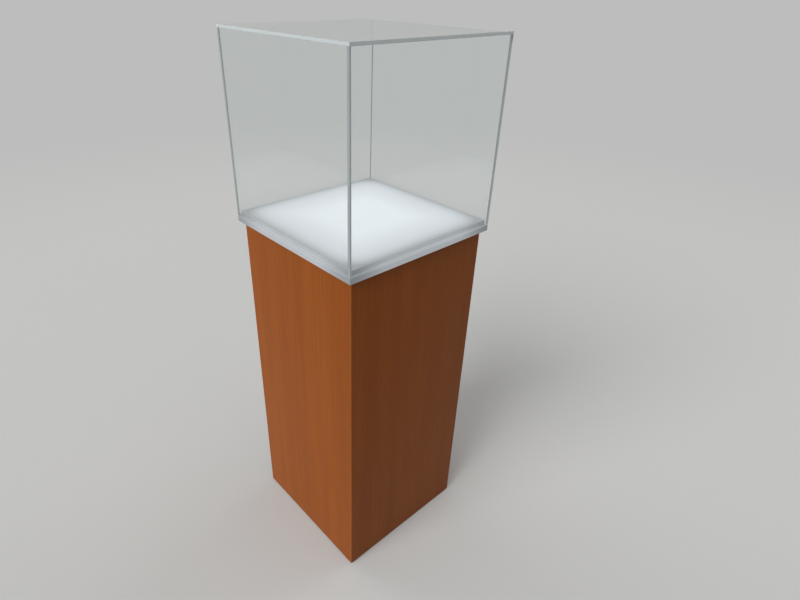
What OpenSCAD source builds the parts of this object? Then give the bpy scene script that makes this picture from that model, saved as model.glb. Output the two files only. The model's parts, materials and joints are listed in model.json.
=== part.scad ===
// Pedestal display cabinet: a wood-laminate plinth, a lit opal top and a lift-off clear cover.
// Millimetres, +Z up. The origin is on the floor under the middle, and the front faces -Y.

/* [Plinth] */
// Outside width and depth of the wood plinth
plinth_w = 400; // [320:1:600]
// Height from the floor to the underside of the lit top
plinth_h = 900; // [700:1:1100]
// Thickness of the laminated side panels
panel_t = 18; // [15:0.5:25]
// Width of the bevel along the outer vertical edges
arris_w = 1; // [0.5:0.1:3]
// Thickness of the base panel
base_t = 18; // [12:0.5:30]
// Side of the square battens glued into the corners
batten_w = 25; // [20:1:40]

/* [Glides] */
// Diameter of each floor glide
glide_d = 30; // [20:1:40]
// Height of each floor glide
glide_h = 4; // [4:0.5:12]
// Distance of each glide's middle from the two nearest panels
glide_inset = 30; // [22:1:60]

/* [Light box] */
// Depth from the top of the plinth down to the lamp tray
lightbox_h = 100; // [50:1:160]
// Thickness of the lamp tray
tray_t = 12; // [9:0.5:18]
// Gap between the tray and the panels round it
tray_gap = 0.5; // [0.2:0.1:2]
// Width of each light strip
strip_w = 10; // [6:0.5:14]
// Thickness of each light strip's board
strip_t = 0.6; // [0.3:0.1:2]
// Distance from a light strip's end to the nearest panel
strip_end_gap = 27; // [20:1:60]
// Distance from the outermost light strips' middles to the nearest panel
strip_side_gap = 32; // [20:1:60]
// Distance between the lamps along a strip
led_pitch = 16.5; // [8:0.5:50]
// Side of each square lamp
led_w = 5; // [2:0.1:6]
// Height of each lamp above its board
led_h = 1.4; // [0.5:0.1:3]

/* [Lit top] */
// How far the opal base sheet stands out past the wood
top_overhang = 12; // [6:0.5:30]
// Thickness of the opal base sheet
base_sheet_t = 15; // [8:0.5:30]
// Thickness of the raised opal sheet that locates the cover
raised_sheet_t = 12; // [6:0.5:30]
// Length of each locating block under the base sheet
locator_l = 60; // [30:1:120]
// Thickness and depth of each locating block
locator_t = 12; // [8:0.5:20]
// Play between the locating blocks and the panels
locator_gap = 1; // [0.5:0.1:3]

/* [Cover] */
// Height of the clear cover
cover_h = 412; // [200:1:800]
// Thickness of the cover's clear sheets
cover_t = 6; // [3:0.5:12]
// Play between the cover's walls and the raised opal sheet
cover_gap = 2; // [0.5:0.1:5]

/* [Power] */
// Distance of the inlet, driver and leads from the middle of the back
service_x = 0; // [-60:1:60]
// Height of the middle of the inlet above the floor
inlet_z = 80; // [60:1:200]
// Diameter of the mains lead inside the plinth
mains_lead_d = 6; // [5:0.5:8]
// Diameter of the low-voltage lead to the lamps
dc_lead_d = 4.5; // [3:0.5:6]
// Diameter of each feed wire across the strips' ends
feed_wire_d = 1.6; // [1:0.1:2.5]
// Width of the lamp driver
driver_w = 42; // [36:1:60]
// Depth of the lamp driver, out from the back panel
driver_depth = 30; // [26:1:40]
// Length of the lamp driver between its end covers
driver_l = 130; // [80:1:160]
// Length of each end cover of the driver
driver_cover_l = 25; // [20:1:40]
// Distance from the lamp tray down to the driver
driver_drop = 60; // [40:1:100]
// Width of each cable clip along the lead
clip_w = 8; // [6:0.5:12]

/* [Inlet] */
// Width of the inlet's flange
flange_w = 50; // [48:0.5:60]
// Height of the inlet's flange
flange_h = 58; // [52:0.5:70]
// Thickness of the inlet's flange
flange_t = 2.5; // [2.5:0.1:4]
// Depth of the inlet's body behind the flange
inlet_depth = 28; // [26:0.5:36]
// Wall of the soft boot over the inlet's back
boot_wall = 2; // [1.5:0.1:3]
// How far the rocker switch tilts to each side of level
rocker_tilt = 12; // [6:0.5:14]

/* [Hidden] */
$fn = 64;

// Counts of the pieces that repeat
strip_count = 6;
clip_count = 3;

// A cut runs this far past the face that it leaves, so that no skin stays behind
over = 1;
// Radial play between a screw and its hole
screw_gap = 0.05;
// Play between a lead and what it passes through
lead_gap = 0.3;

// Plinth
half = plinth_w / 2;
inner_half = half - panel_t;
floor_z = glide_h + base_t;
tray_top = plinth_h - lightbox_h;
tray_bottom = tray_top - tray_t;
tray_half = inner_half - tray_gap;
batten_mid = inner_half - batten_w / 2;
glide_mid = inner_half - glide_inset;
// Signs of X and Y at each of the four corners, in order
corners = [[-1, -1], [1, -1], [1, 1], [-1, 1]];
// Bevel round a glide's lower edge
glide_bevel = 1;

// Wood screws: shank diameter, head diameter, head height and length
screw_d = 3.5;
screw_head_d = 7;
screw_head_h = 2.2;
glide_screw_l = 16;
tray_screw_l = 35;
// How far a glide's screw head lies above the floor
glide_screw_z = 0.8;
// Small screws for the clips, driver and inlet
small_screw_d = 3;
small_head_d = 5.6;
small_head_h = 1.8;
small_screw_l = 14;
// Cross recess in a screw head
recess_w = 0.8;
recess_share = 0.6;
recess_h = 0.9;

// Light strips
strip_half = inner_half - strip_end_gap;
strip_step = 2 * (inner_half - strip_side_gap) / (strip_count - 1);
pad_l = 9;
led_count = floor((2 * strip_half - 2 * pad_l) / led_pitch);
// The two feed wires cross the strips' back ends, this far in from the ends
feed_rows = [2.5, 6];
feed_end = 4;

// Lit top
top_half = half + top_overhang;
base_sheet_top = plinth_h + base_sheet_t;
raised_half = top_half - cover_t - cover_gap;
locator_out = inner_half - locator_gap;

// Cover
cover_top_z = base_sheet_top + cover_h;
cover_wall_h = cover_h - cover_t;

// Standard appliance inlet: the body, the socket in it and its three pins
inlet_body_w = 27;
inlet_body_h = 46.5;
cutout_gap = 0.25;
flange_r = 4;
socket_w = 24.2;
socket_h = 16.4;
socket_bevel = 5;
socket_depth = 16;
socket_z = -12.5;
pin_t = 2;
pin_h = 4;
pin_l = 11.5;
// Each pin's place across the socket and up it
pin_places = [[-7, -2], [0, 2], [7, -2]];
tab_t = 0.8;
tab_h = 4.8;
tab_l = 9;
inlet_screw_x = 20;

// Fuse drawer in the inlet
drawer_z = 2.5;
drawer_w = 22;
drawer_h = 7.8;
drawer_depth = 18;
drawer_gap = 0.2;
drawer_face_w = 24.4;
drawer_face_h = 9;
drawer_face_t = 1.5;
drawer_floor = 1.2;
drawer_pocket_l = 9;
drawer_pocket_back = 4;
finger_notch_r = 5;
finger_notch_depth = 0.8;

// Glass fuse, 5 x 20
fuse_l = 20;
fuse_cap_d = 5.2;
fuse_cap_l = 5.5;
fuse_glass_d = 4.6;
fuse_bore_d = 3.4;
fuse_cap_end = 0.5;
fuse_gap = 0.05;

// Rocker switch in the inlet
rocker_z = 15.3;
rocker_w = 18.4;
rocker_half_h = 4.9;
rocker_side_gap = 0.3;
rocker_slot_depth = 11;
// Distance from the pivot out to the middle of the rocker's face, which is level with the flange
rocker_valley = 4;
rocker_end = rocker_valley + rocker_half_h * tan(rocker_tilt);
// The slot clears the rocker's corners wherever it tilts
rocker_slot_half_h =
    norm([rocker_end, rocker_half_h]) * sin(atan2(rocker_half_h, rocker_end) + rocker_tilt)
    + rocker_side_gap;
rocker_pin_r = 1.5;
rocker_pin_l = 2;
rocker_pin_gap = 0.05;
rocker_y = flange_t - rocker_valley;

// Boot over the inlet's back
boot_fit = 0.2;
// Room behind the inlet's body for the pins' tabs and the lead's cores
boot_room = 20;
boot_depth = inlet_depth - panel_t + boot_room;
boot_panel_gap = 0.3;
boot_neck_wall = 1.7;
boot_neck_h = 12;
// Distance from the inlet's body back to the boot's neck
tab_clear = 2;
boot_half_h = inlet_body_h / 2 + boot_fit + boot_wall;

// Lamp driver on the back panel
driver_wall = 2;
ear_l = 12;
ear_t = 3;
driver_screw_inset = 7;
driver_screw_x = driver_w / 2 - driver_screw_inset;
terminal_w = 26;
terminal_depth = 14;
terminal_l = 12;
driver_entry = 10;
driver_top = tray_bottom - driver_drop;
driver_body_top = driver_top - ear_l - driver_cover_l;
driver_body_bottom = driver_body_top - driver_l;
driver_bottom = driver_body_bottom - driver_cover_l - ear_l;

// Notch in the tray's back edge for the low-voltage lead
notch_w = 12;
dc_bend = 9;
notch_depth = driver_entry + dc_bend + lead_gap;

// Cable clips, between the inlet's boot and the driver
clip_t = 1.5;
clip_foot = 8;
clip_r = mains_lead_d / 2 + lead_gap;
boot_top = inlet_z + boot_half_h + boot_neck_h;
clip_clear = 60;
clip_from = boot_top + clip_clear;
clip_to = driver_bottom - clip_clear;

// Routes of the two leads, as distances in from the back panel's inner face and heights
lead_on_panel = mains_lead_d / 2 + lead_gap;
boot_mid = inlet_depth - panel_t + mains_lead_d / 2 + boot_neck_wall + lead_gap + tab_clear;
// The mains lead's end lies this far down inside the boot
lead_in_boot = 9;
bend_l = 40;
bend_start = 6;
bend_steps = 6;
lead_sides = 8;
lead_end_gap = 0.3;
mains_route = [
    for (p = [
        [boot_mid, inlet_z + boot_half_h - lead_in_boot],
        each sideways(boot_mid, lead_on_panel, boot_top + bend_start),
        each sideways(lead_on_panel, driver_entry, driver_bottom - bend_start - bend_l),
        [driver_entry, driver_body_bottom - terminal_l - lead_end_gap]
    ]) [service_x, inner_half - p[0], p[1]]
];
feed_lead_z = tray_top + dc_lead_d / 2 + lead_gap;
// Turn from one ring of the low-voltage lead's bend to the next, in degrees
dc_bend_turn = 15;
dc_route = [
    for (p = [
        [driver_entry, driver_body_top + terminal_l + lead_end_gap],
        for (a = [0:dc_bend_turn:90]) [
            driver_entry + dc_bend * (1 - cos(a)),
            feed_lead_z - dc_bend * (1 - sin(a))
        ],
        [strip_end_gap - lead_gap, feed_lead_z]
    ]) [service_x, inner_half - p[0], p[1]]
];

wood_colour = [0.60, 0.36, 0.21];
softwood_colour = [0.80, 0.66, 0.45];
opal_colour = [0.92, 0.95, 0.98];
clear_colour = [0.80, 0.88, 0.92, 0.25];

// ---- Shared shapes ----

// Countersunk screw, its head's top at z = 0, pointing down
module countersunk_screw(d, head_d, head_h, length) {
    difference() {
        union() {
            translate([0, 0, -head_h])
                cylinder(h = head_h, d1 = d, d2 = head_d);
            translate([0, 0, -length])
                cylinder(h = length - head_h, d = d);
        }
        cross_recess(head_d);
    }
}

// Flat-headed screw, the underside of its head at z = 0, pointing down
module flat_screw(d, head_d, head_h, length) {
    difference() {
        union() {
            cylinder(h = head_h, d = head_d);
            translate([0, 0, -length])
                cylinder(h = length, d = d);
        }
        translate([0, 0, head_h])
            cross_recess(head_d);
    }
}

module cross_recess(head_d) {
    for (turn = [0, 90])
        rotate([0, 0, turn])
            translate([0, 0, over / 2 - recess_h / 2])
                cube([head_d * recess_share, recess_w, recess_h + over], center = true);
}

// Space for a countersunk screw, open above its head
module countersunk_hole(d, head_d, head_h, length) {
    translate([0, 0, -head_h])
        cylinder(h = head_h, d1 = d + 2 * screw_gap, d2 = head_d + 2 * screw_gap);
    cylinder(h = over, d = head_d + 2 * screw_gap);
    pilot_hole(d, length);
}

module pilot_hole(d, length) {
    translate([0, 0, -length - screw_gap])
        cylinder(h = length + screw_gap + over, d = d + 2 * screw_gap);
}

// Rectangle with round corners
module rounded_plate(w, h, r) {
    square([w - 2 * r, h], center = true);
    square([w, h - 2 * r], center = true);
    for (x = [-1, 1], y = [-1, 1])
        translate([x * (w / 2 - r), y * (h / 2 - r)])
            circle(r = r);
}

// Outline seen from behind, extruded towards the front from distance y over a depth
module from_back(y, depth) {
    translate([0, y, 0])
        rotate([90, 0, 0])
            linear_extrude(depth)
                children();
}

// Places children at each of the four corners, at a distance from the middle
module at_corner(i, distance) {
    translate([corners[i - 1][0] * distance, corners[i - 1][1] * distance, 0])
        children();
}

// Puts a screw drawn pointing down so that it points out through the back panel
module into_back() {
    rotate([90, 0, 0])
        children();
}

// ---- Round tube along a route ----

function unit(v) = v / norm(v);

// Bend that moves a rising lead from one distance off the back panel to another
function sideways(from, to, z) = [
    for (k = [0:bend_steps])
        [from + (to - from) * (1 - cos(180 * k / bend_steps)) / 2, z + bend_l * k / bend_steps]
];

// Direction of the path at each of its points
function directions(path) = [
    for (i = [0:len(path) - 1])
        let (
            before = i == 0 ? [0, 0, 0] : unit(path[i] - path[i - 1]),
            after = i == len(path) - 1 ? [0, 0, 0] : unit(path[i + 1] - path[i])
        )
        unit(before + after)
];

// Corners of each ring round the path; all rings share the X axis, which no lead runs along
function rings(path, r) =
    let (along = directions(path))
    [
        for (i = [0:len(path) - 1])
            let (across = unit(cross(along[i], [1, 0, 0])))
            for (k = [0:lead_sides - 1])
                let (a = 360 * (k + 0.5) / lead_sides)
                path[i] + r * (cos(a) * [1, 0, 0] + sin(a) * across)
    ];

module tube(path, d) {
    last = (len(path) - 1) * lead_sides;
    polyhedron(
        points = rings(path, d / 2),
        faces = concat(
            [[for (k = [0:lead_sides - 1]) k]],
            [
                for (b = [0:lead_sides:last - 1], k = [0:lead_sides - 1])
                    let (next = (k + 1) % lead_sides)
                    each [
                        [b + k, b + lead_sides + k, b + next],
                        [b + next, b + lead_sides + k, b + lead_sides + next]
                    ]
            ],
            [[for (k = [lead_sides - 1:-1:0]) last + k]]
        )
    );
}

// ---- Plinth ----

// One mitred panel on the -Y side
module side_panel() {
    translate([0, 0, glide_h])
        linear_extrude(plinth_h - glide_h)
            polygon([
                [-half + arris_w, -half],
                [half - arris_w, -half],
                [half - arris_w / 2, -half + arris_w / 2],
                [inner_half, -inner_half],
                [-inner_half, -inner_half],
                [-half + arris_w / 2, -half + arris_w / 2]
            ]);
}

module front_panel() {
    color(wood_colour)
        side_panel();
}

module right_panel() {
    color(wood_colour)
        rotate([0, 0, 90])
            side_panel();
}

module left_panel() {
    color(wood_colour)
        rotate([0, 0, -90])
            side_panel();
}

module back_panel() {
    color(wood_colour)
        difference() {
            rotate([0, 0, 180])
                side_panel();
            at_inlet() {
                from_back(over, panel_t + 2 * over)
                    square([inlet_body_w + 2 * cutout_gap, inlet_body_h + 2 * cutout_gap], center = true);
                inlet_screw_places()
                    pilot_hole(small_screw_d, small_screw_l);
            }
            driver_screw_places()
                pilot_hole(small_screw_d, small_screw_l);
            clip_screw_places()
                pilot_hole(small_screw_d, small_screw_l);
        }
}

module base_panel() {
    color(softwood_colour)
        difference() {
            translate([-inner_half, -inner_half, glide_h])
                cube([2 * inner_half, 2 * inner_half, base_t]);
            for (i = [1:4])
                at_corner(i, glide_mid)
                    translate([0, 0, glide_screw_z])
                        mirror([0, 0, 1])
                            pilot_hole(screw_d, glide_screw_l);
        }
}

module corner_batten(i) {
    color(softwood_colour)
        difference() {
            at_corner(i, batten_mid)
                translate([-batten_w / 2, -batten_w / 2, floor_z])
                    cube([batten_w, batten_w, tray_bottom - floor_z]);
            at_corner(i, batten_mid)
                translate([0, 0, tray_top])
                    pilot_hole(screw_d, tray_screw_l);
        }
}

// ---- Glides ----

module glide(i) {
    color("dimgray")
        at_corner(i, glide_mid)
            difference() {
                union() {
                    cylinder(h = glide_bevel, d1 = glide_d - 2 * glide_bevel, d2 = glide_d);
                    translate([0, 0, glide_bevel])
                        cylinder(h = glide_h - glide_bevel, d = glide_d);
                }
                translate([0, 0, glide_screw_z])
                    mirror([0, 0, 1])
                        countersunk_hole(screw_d, screw_head_d, screw_head_h, glide_screw_l);
            }
}

module glide_screws() {
    color("silver")
        for (i = [1:4])
            at_corner(i, glide_mid)
                translate([0, 0, glide_screw_z])
                    mirror([0, 0, 1])
                        countersunk_screw(screw_d, screw_head_d, screw_head_h, glide_screw_l);
}

// ---- Light box ----

module light_tray() {
    color("white")
        difference() {
            translate([-tray_half, -tray_half, tray_bottom])
                cube([2 * tray_half, 2 * tray_half, tray_t]);
            for (i = [1:4])
                at_corner(i, batten_mid)
                    translate([0, 0, tray_top])
                        countersunk_hole(screw_d, screw_head_d, screw_head_h, tray_screw_l);
            translate([service_x - notch_w / 2, inner_half - notch_depth, tray_bottom - over])
                cube([notch_w, notch_depth + over, tray_t + 2 * over]);
        }
}

module tray_screws() {
    color("silver")
        for (i = [1:4])
            at_corner(i, batten_mid)
                translate([0, 0, tray_top])
                    countersunk_screw(screw_d, screw_head_d, screw_head_h, tray_screw_l);
}

module led_strip(i) {
    color("lemonchiffon")
        translate([(i - (strip_count + 1) / 2) * strip_step, 0, tray_top]) {
            translate([-strip_w / 2, -strip_half, 0])
                cube([strip_w, 2 * strip_half, strip_t]);
            for (k = [1:led_count])
                translate([-led_w / 2, (k - (led_count + 1) / 2) * led_pitch - led_w / 2, 0])
                    cube([led_w, led_w, strip_t + led_h]);
        }
}

module feed_bus() {
    bus_half = (strip_count - 1) / 2 * strip_step + feed_end;
    color("firebrick")
        for (row = feed_rows)
            translate([-bus_half, strip_half - row, tray_top + strip_t + feed_wire_d / 2])
                rotate([0, 90, 0])
                    cylinder(h = 2 * bus_half, d = feed_wire_d);
}

module dc_lead() {
    color("whitesmoke")
        tube(dc_route, dc_lead_d);
}

// ---- Lamp driver ----

module led_driver() {
    color("white")
        translate([service_x, inner_half, 0]) {
            translate([-driver_w / 2, -driver_depth, driver_body_bottom])
                cube([driver_w, driver_depth, driver_l]);
            translate([
                -terminal_w / 2,
                -driver_entry - terminal_depth / 2,
                driver_body_bottom - terminal_l
            ])
                cube([terminal_w, terminal_depth, driver_l + 2 * terminal_l]);
        }
}

// End cover with its ear, drawn above z = 0 with its back on the plane y = 0
module driver_cover(lead_d) {
    difference() {
        union() {
            translate([-driver_w / 2, -driver_depth, 0])
                cube([driver_w, driver_depth, driver_cover_l]);
            translate([-driver_w / 2, -ear_t, 0])
                cube([driver_w, ear_t, driver_cover_l + ear_l]);
        }
        translate([-driver_w / 2 + driver_wall, -driver_depth + driver_wall, -over])
            cube([
                driver_w - 2 * driver_wall,
                driver_depth - 2 * driver_wall,
                driver_cover_l - driver_wall + over
            ]);
        translate([0, -driver_entry, driver_cover_l / 2])
            cylinder(h = driver_cover_l, d = lead_d + 2 * lead_gap);
        for (x = [-1, 1])
            translate([x * driver_screw_x, -ear_t, driver_cover_l + ear_l / 2])
                into_back()
                    pilot_hole(small_screw_d, ear_t + over);
    }
}

module driver_cover_mains() {
    color("gainsboro")
        translate([service_x, inner_half, driver_body_bottom])
            mirror([0, 0, 1])
                driver_cover(mains_lead_d);
}

module driver_cover_dc() {
    color("gainsboro")
        translate([service_x, inner_half, driver_body_top])
            driver_cover(dc_lead_d);
}

// The driver's screws point out through the back panel, from the ears' faces
module driver_screw_places() {
    for (x = [-1, 1], z = [driver_bottom + ear_l / 2, driver_top - ear_l / 2])
        translate([service_x + x * driver_screw_x, inner_half - ear_t, z])
            into_back()
                children();
}

module driver_screws() {
    color("silver")
        driver_screw_places()
            flat_screw(small_screw_d, small_head_d, small_head_h, small_screw_l);
}

// ---- Mains lead and its clips ----

module mains_lead() {
    color("black")
        tube(mains_route, mains_lead_d);
}

function clip_z(i) = clip_from + (clip_to - clip_from) * (i - 1) / (clip_count - 1);

module clip_outline() {
    arch_r = clip_r + clip_t;
    difference() {
        union() {
            translate([0, -lead_on_panel])
                circle(r = arch_r);
            translate([-arch_r, -lead_on_panel])
                square([2 * arch_r, lead_on_panel]);
            translate([-arch_r - clip_foot, -clip_t])
                square([2 * (arch_r + clip_foot), clip_t]);
        }
        translate([0, -lead_on_panel])
            circle(r = clip_r);
        translate([-clip_r, -lead_on_panel])
            square([2 * clip_r, lead_on_panel + over]);
        translate([-arch_r, 0])
            square([2 * arch_r, arch_r]);
    }
}

module cable_clip(i) {
    color("white")
        difference() {
            translate([service_x, inner_half, clip_z(i) - clip_w / 2])
                linear_extrude(clip_w)
                    clip_outline();
            clip_screw_places()
                pilot_hole(small_screw_d, small_screw_l);
        }
}

// The clips' screws point out through the back panel, from the faces of the clips' feet
module clip_screw_places() {
    for (i = [1:clip_count], x = [-1, 1])
        translate([service_x + x * (clip_r + clip_t + clip_foot / 2), inner_half - clip_t, clip_z(i)])
            into_back()
                children();
}

module clip_screws() {
    color("silver")
        clip_screw_places()
            flat_screw(small_screw_d, small_head_d, small_head_h, small_screw_l);
}

// ---- Inlet ----

// Frame with its origin in the middle of the inlet, on the back panel's outer face
module at_inlet() {
    translate([service_x, half, inlet_z])
        children();
}

module socket_outline() {
    polygon([
        [-socket_w / 2, -socket_h / 2],
        [socket_w / 2, -socket_h / 2],
        [socket_w / 2, socket_h / 2 - socket_bevel],
        [socket_w / 2 - socket_bevel, socket_h / 2],
        [-socket_w / 2 + socket_bevel, socket_h / 2],
        [-socket_w / 2, socket_h / 2 - socket_bevel]
    ]);
}

// The inlet's screws point in through its flange, from the flange's front
module inlet_screw_places() {
    for (x = [-1, 1])
        translate([x * inlet_screw_x, flange_t, 0])
            rotate([-90, 0, 0])
                children();
}

module inlet_body() {
    color("dimgray")
        at_inlet()
            difference() {
                union() {
                    from_back(flange_t, flange_t)
                        rounded_plate(flange_w, flange_h, flange_r);
                    from_back(0, inlet_depth)
                        square([inlet_body_w, inlet_body_h], center = true);
                }
                translate([0, 0, socket_z])
                    from_back(flange_t + over, socket_depth + over)
                        socket_outline();
                for (p = pin_places)
                    translate([p[0], 0, socket_z + p[1]])
                        from_back(0, inlet_depth + over)
                            square([pin_t, pin_h], center = true);
                translate([0, 0, drawer_z])
                    from_back(flange_t + over, flange_t + drawer_depth + drawer_gap + over)
                        square([drawer_w + 2 * drawer_gap, drawer_h + 2 * drawer_gap], center = true);
                translate([0, 0, rocker_z])
                    from_back(flange_t + over, rocker_slot_depth + over)
                        square([rocker_w + 2 * rocker_side_gap, 2 * rocker_slot_half_h], center = true);
                rocker_pins(rocker_pin_r + rocker_pin_gap, rocker_pin_l + rocker_side_gap);
                inlet_screw_places()
                    countersunk_hole(small_screw_d, small_head_d, small_head_h, small_screw_l);
            }
}

module inlet_pins() {
    color("silver")
        at_inlet()
            for (p = pin_places)
                translate([p[0], 0, socket_z + p[1]]) {
                    from_back(flange_t - socket_depth + pin_l, inlet_depth + flange_t - socket_depth + pin_l)
                        square([pin_t, pin_h], center = true);
                    from_back(-inlet_depth, tab_l)
                        square([tab_t, tab_h], center = true);
                }
}

module inlet_boot() {
    cavity_w = inlet_body_w + 2 * boot_fit;
    cavity_h = inlet_body_h + 2 * boot_fit;
    color("black")
        translate([service_x, inner_half - boot_panel_gap, inlet_z])
            difference() {
                union() {
                    from_back(0, boot_depth)
                        square([cavity_w + 2 * boot_wall, cavity_h + 2 * boot_wall], center = true);
                    translate([0, boot_panel_gap - boot_mid, 0])
                        cylinder(
                            h = boot_half_h + boot_neck_h,
                            r = mains_lead_d / 2 + lead_gap + boot_neck_wall
                        );
                }
                from_back(over, boot_depth - boot_wall + over)
                    square([cavity_w, cavity_h], center = true);
                translate([0, boot_panel_gap - boot_mid, 0])
                    cylinder(h = boot_half_h + boot_neck_h + over, d = mains_lead_d + 2 * lead_gap);
            }
}

module inlet_screws() {
    color("silver")
        at_inlet()
            inlet_screw_places()
                countersunk_screw(small_screw_d, small_head_d, small_head_h, small_screw_l);
}

// ---- Rocker switch ----

// The two pins that the rocker turns on, in the inlet's frame
module rocker_pins(r, reach) {
    length = rocker_w + 2 * reach;
    translate([-length / 2, rocker_y, rocker_z])
        rotate([0, 90, 0])
            cylinder(h = length, r = r);
}

// Side view of the rocker about its pivot: X is outwards and Y is up. Only its back is round.
module rocker_outline() {
    intersection() {
        circle(r = rocker_half_h);
        translate([-rocker_half_h, -rocker_half_h])
            square([rocker_half_h + over, 2 * rocker_half_h]);
    }
    polygon([
        [0, -rocker_half_h],
        [rocker_end, -rocker_half_h],
        [rocker_valley, 0],
        [rocker_end, rocker_half_h],
        [0, rocker_half_h]
    ]);
}

module rocker_switch() {
    color("black")
        at_inlet() {
            translate([0, rocker_y, rocker_z])
                rotate([rocker_tilt, 0, 0])
                    translate([-rocker_w / 2, 0, 0])
                        rotate([90, 0, 90])
                            linear_extrude(rocker_w)
                                rocker_outline();
            rocker_pins(rocker_pin_r, rocker_pin_l);
        }
}

// ---- Fuse drawer ----

// Frame with its origin in the middle of the drawer's front, on the flange's front
module at_drawer() {
    translate([service_x, half + flange_t, inlet_z + drawer_z])
        children();
}

module fuse_drawer() {
    pocket_w = fuse_l + 2 * fuse_gap;
    color("dimgray")
        at_drawer()
            difference() {
                union() {
                    from_back(drawer_face_t, drawer_face_t)
                        square([drawer_face_w, drawer_face_h], center = true);
                    from_back(0, flange_t + drawer_depth)
                        square([drawer_w, drawer_h], center = true);
                }
                translate([
                    -pocket_w / 2,
                    -drawer_pocket_back - drawer_pocket_l,
                    -drawer_h / 2 + drawer_floor
                ])
                    cube([pocket_w, drawer_pocket_l, drawer_h]);
                translate([0, drawer_face_t + finger_notch_r - finger_notch_depth, -drawer_face_h / 2 - over])
                    cylinder(h = drawer_face_h / 2, r = finger_notch_r);
            }
}

// Frame with its origin in the middle of the fuse, which lies along X
module at_fuse() {
    at_drawer()
        translate([
            -fuse_l / 2,
            -drawer_pocket_back - drawer_pocket_l / 2,
            -drawer_h / 2 + drawer_floor + fuse_cap_d / 2 + fuse_gap
        ])
            rotate([0, 90, 0])
                children();
}

module fuse_tube() {
    color("lightcyan")
        at_fuse()
            translate([0, 0, fuse_cap_end])
                difference() {
                    cylinder(h = fuse_l - 2 * fuse_cap_end, d = fuse_glass_d);
                    translate([0, 0, -over])
                        cylinder(h = fuse_l + 2 * over, d = fuse_bore_d);
                }
}

module fuse_caps() {
    color("silver")
        at_fuse()
            for (end = [0, 1])
                translate([0, 0, end * fuse_l])
                    mirror([0, 0, end])
                        difference() {
                            cylinder(h = fuse_cap_l, d = fuse_cap_d);
                            translate([0, 0, fuse_cap_end])
                                cylinder(h = fuse_cap_l, d = fuse_glass_d + 2 * fuse_gap);
                        }
}

// ---- Lit top ----

module opal_base() {
    color(opal_colour)
        translate([-top_half, -top_half, plinth_h])
            cube([2 * top_half, 2 * top_half, base_sheet_t]);
}

module opal_raised() {
    color(opal_colour)
        translate([-raised_half, -raised_half, base_sheet_top])
            cube([2 * raised_half, 2 * raised_half, raised_sheet_t]);
}

module locating_block(i) {
    color(opal_colour)
        rotate([0, 0, 90 * (i - 1)])
            translate([-locator_l / 2, -locator_out, plinth_h - locator_t])
                cube([locator_l, locator_t, locator_t]);
}

// ---- Cover ----

// A full-width wall on the -Y side
module cover_wide_wall() {
    translate([-top_half, -top_half, base_sheet_top])
        cube([2 * top_half, cover_t, cover_wall_h]);
}

// A wall on the -X side, between the two full-width walls
module cover_narrow_wall() {
    translate([-top_half, -top_half + cover_t, base_sheet_top])
        cube([cover_t, 2 * (top_half - cover_t), cover_wall_h]);
}

module cover_top() {
    color(clear_colour)
        translate([-top_half, -top_half, cover_top_z - cover_t])
            cube([2 * top_half, 2 * top_half, cover_t]);
}

module cover_front() {
    color(clear_colour)
        cover_wide_wall();
}

module cover_back() {
    color(clear_colour)
        mirror([0, 1, 0])
            cover_wide_wall();
}

module cover_left() {
    color(clear_colour)
        cover_narrow_wall();
}

module cover_right() {
    color(clear_colour)
        mirror([1, 0, 0])
            cover_narrow_wall();
}

// ---- Drawing ----

front_panel();
back_panel();
left_panel();
right_panel();
base_panel();
for (i = [1:4]) {
    corner_batten(i);
    glide(i);
}
glide_screws();
light_tray();
tray_screws();
for (i = [1:strip_count])
    led_strip(i);
feed_bus();
dc_lead();
led_driver();
driver_cover_mains();
driver_cover_dc();
driver_screws();
mains_lead();
for (i = [1:clip_count])
    cable_clip(i);
clip_screws();
inlet_body();
inlet_pins();
inlet_boot();
inlet_screws();
rocker_switch();
fuse_drawer();
fuse_tube();
fuse_caps();
opal_base();
opal_raised();
for (i = [1:4])
    locating_block(i);
cover_top();
cover_front();
cover_back();
cover_left();
cover_right();
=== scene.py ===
"""Dresses the pedestal display cabinet: a wood-laminate plinth, a lit opal top and a clear cover.

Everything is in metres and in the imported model's frame: +Z is up and the front faces -Y.
"""

import json
import logging
import math
from dataclasses import dataclass
from enum import Enum
from typing import Any, Callable, Iterable, Sequence, Union

import bmesh
import bpy
from mathutils import Matrix, Vector
from mathutils.geometry import interpolate_bezier


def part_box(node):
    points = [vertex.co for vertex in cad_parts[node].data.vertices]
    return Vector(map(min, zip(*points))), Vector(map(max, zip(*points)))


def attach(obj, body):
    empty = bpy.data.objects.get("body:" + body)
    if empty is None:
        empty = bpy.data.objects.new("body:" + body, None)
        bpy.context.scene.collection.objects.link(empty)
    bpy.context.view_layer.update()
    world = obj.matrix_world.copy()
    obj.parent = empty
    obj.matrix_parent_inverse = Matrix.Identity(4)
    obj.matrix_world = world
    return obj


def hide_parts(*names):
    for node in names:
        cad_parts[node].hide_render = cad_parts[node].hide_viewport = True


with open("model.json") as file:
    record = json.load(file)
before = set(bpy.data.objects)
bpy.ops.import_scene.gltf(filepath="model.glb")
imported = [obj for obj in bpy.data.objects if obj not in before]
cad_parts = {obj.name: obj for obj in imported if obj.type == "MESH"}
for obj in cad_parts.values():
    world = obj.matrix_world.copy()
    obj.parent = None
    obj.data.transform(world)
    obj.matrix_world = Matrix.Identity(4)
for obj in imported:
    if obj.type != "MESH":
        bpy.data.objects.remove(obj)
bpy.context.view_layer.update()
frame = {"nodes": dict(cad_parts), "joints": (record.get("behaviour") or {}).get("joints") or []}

log = logging.getLogger("pedestal")

Colour = tuple[float, float, float]
Scale = tuple[float, float, float]
Operand = Union["Wire", float, Sequence[float]]
Method = Callable[["Wire", Operand], "Wire"]
Spoke = tuple[Vector, Vector]
Section = Sequence[tuple[float, float]]

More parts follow.
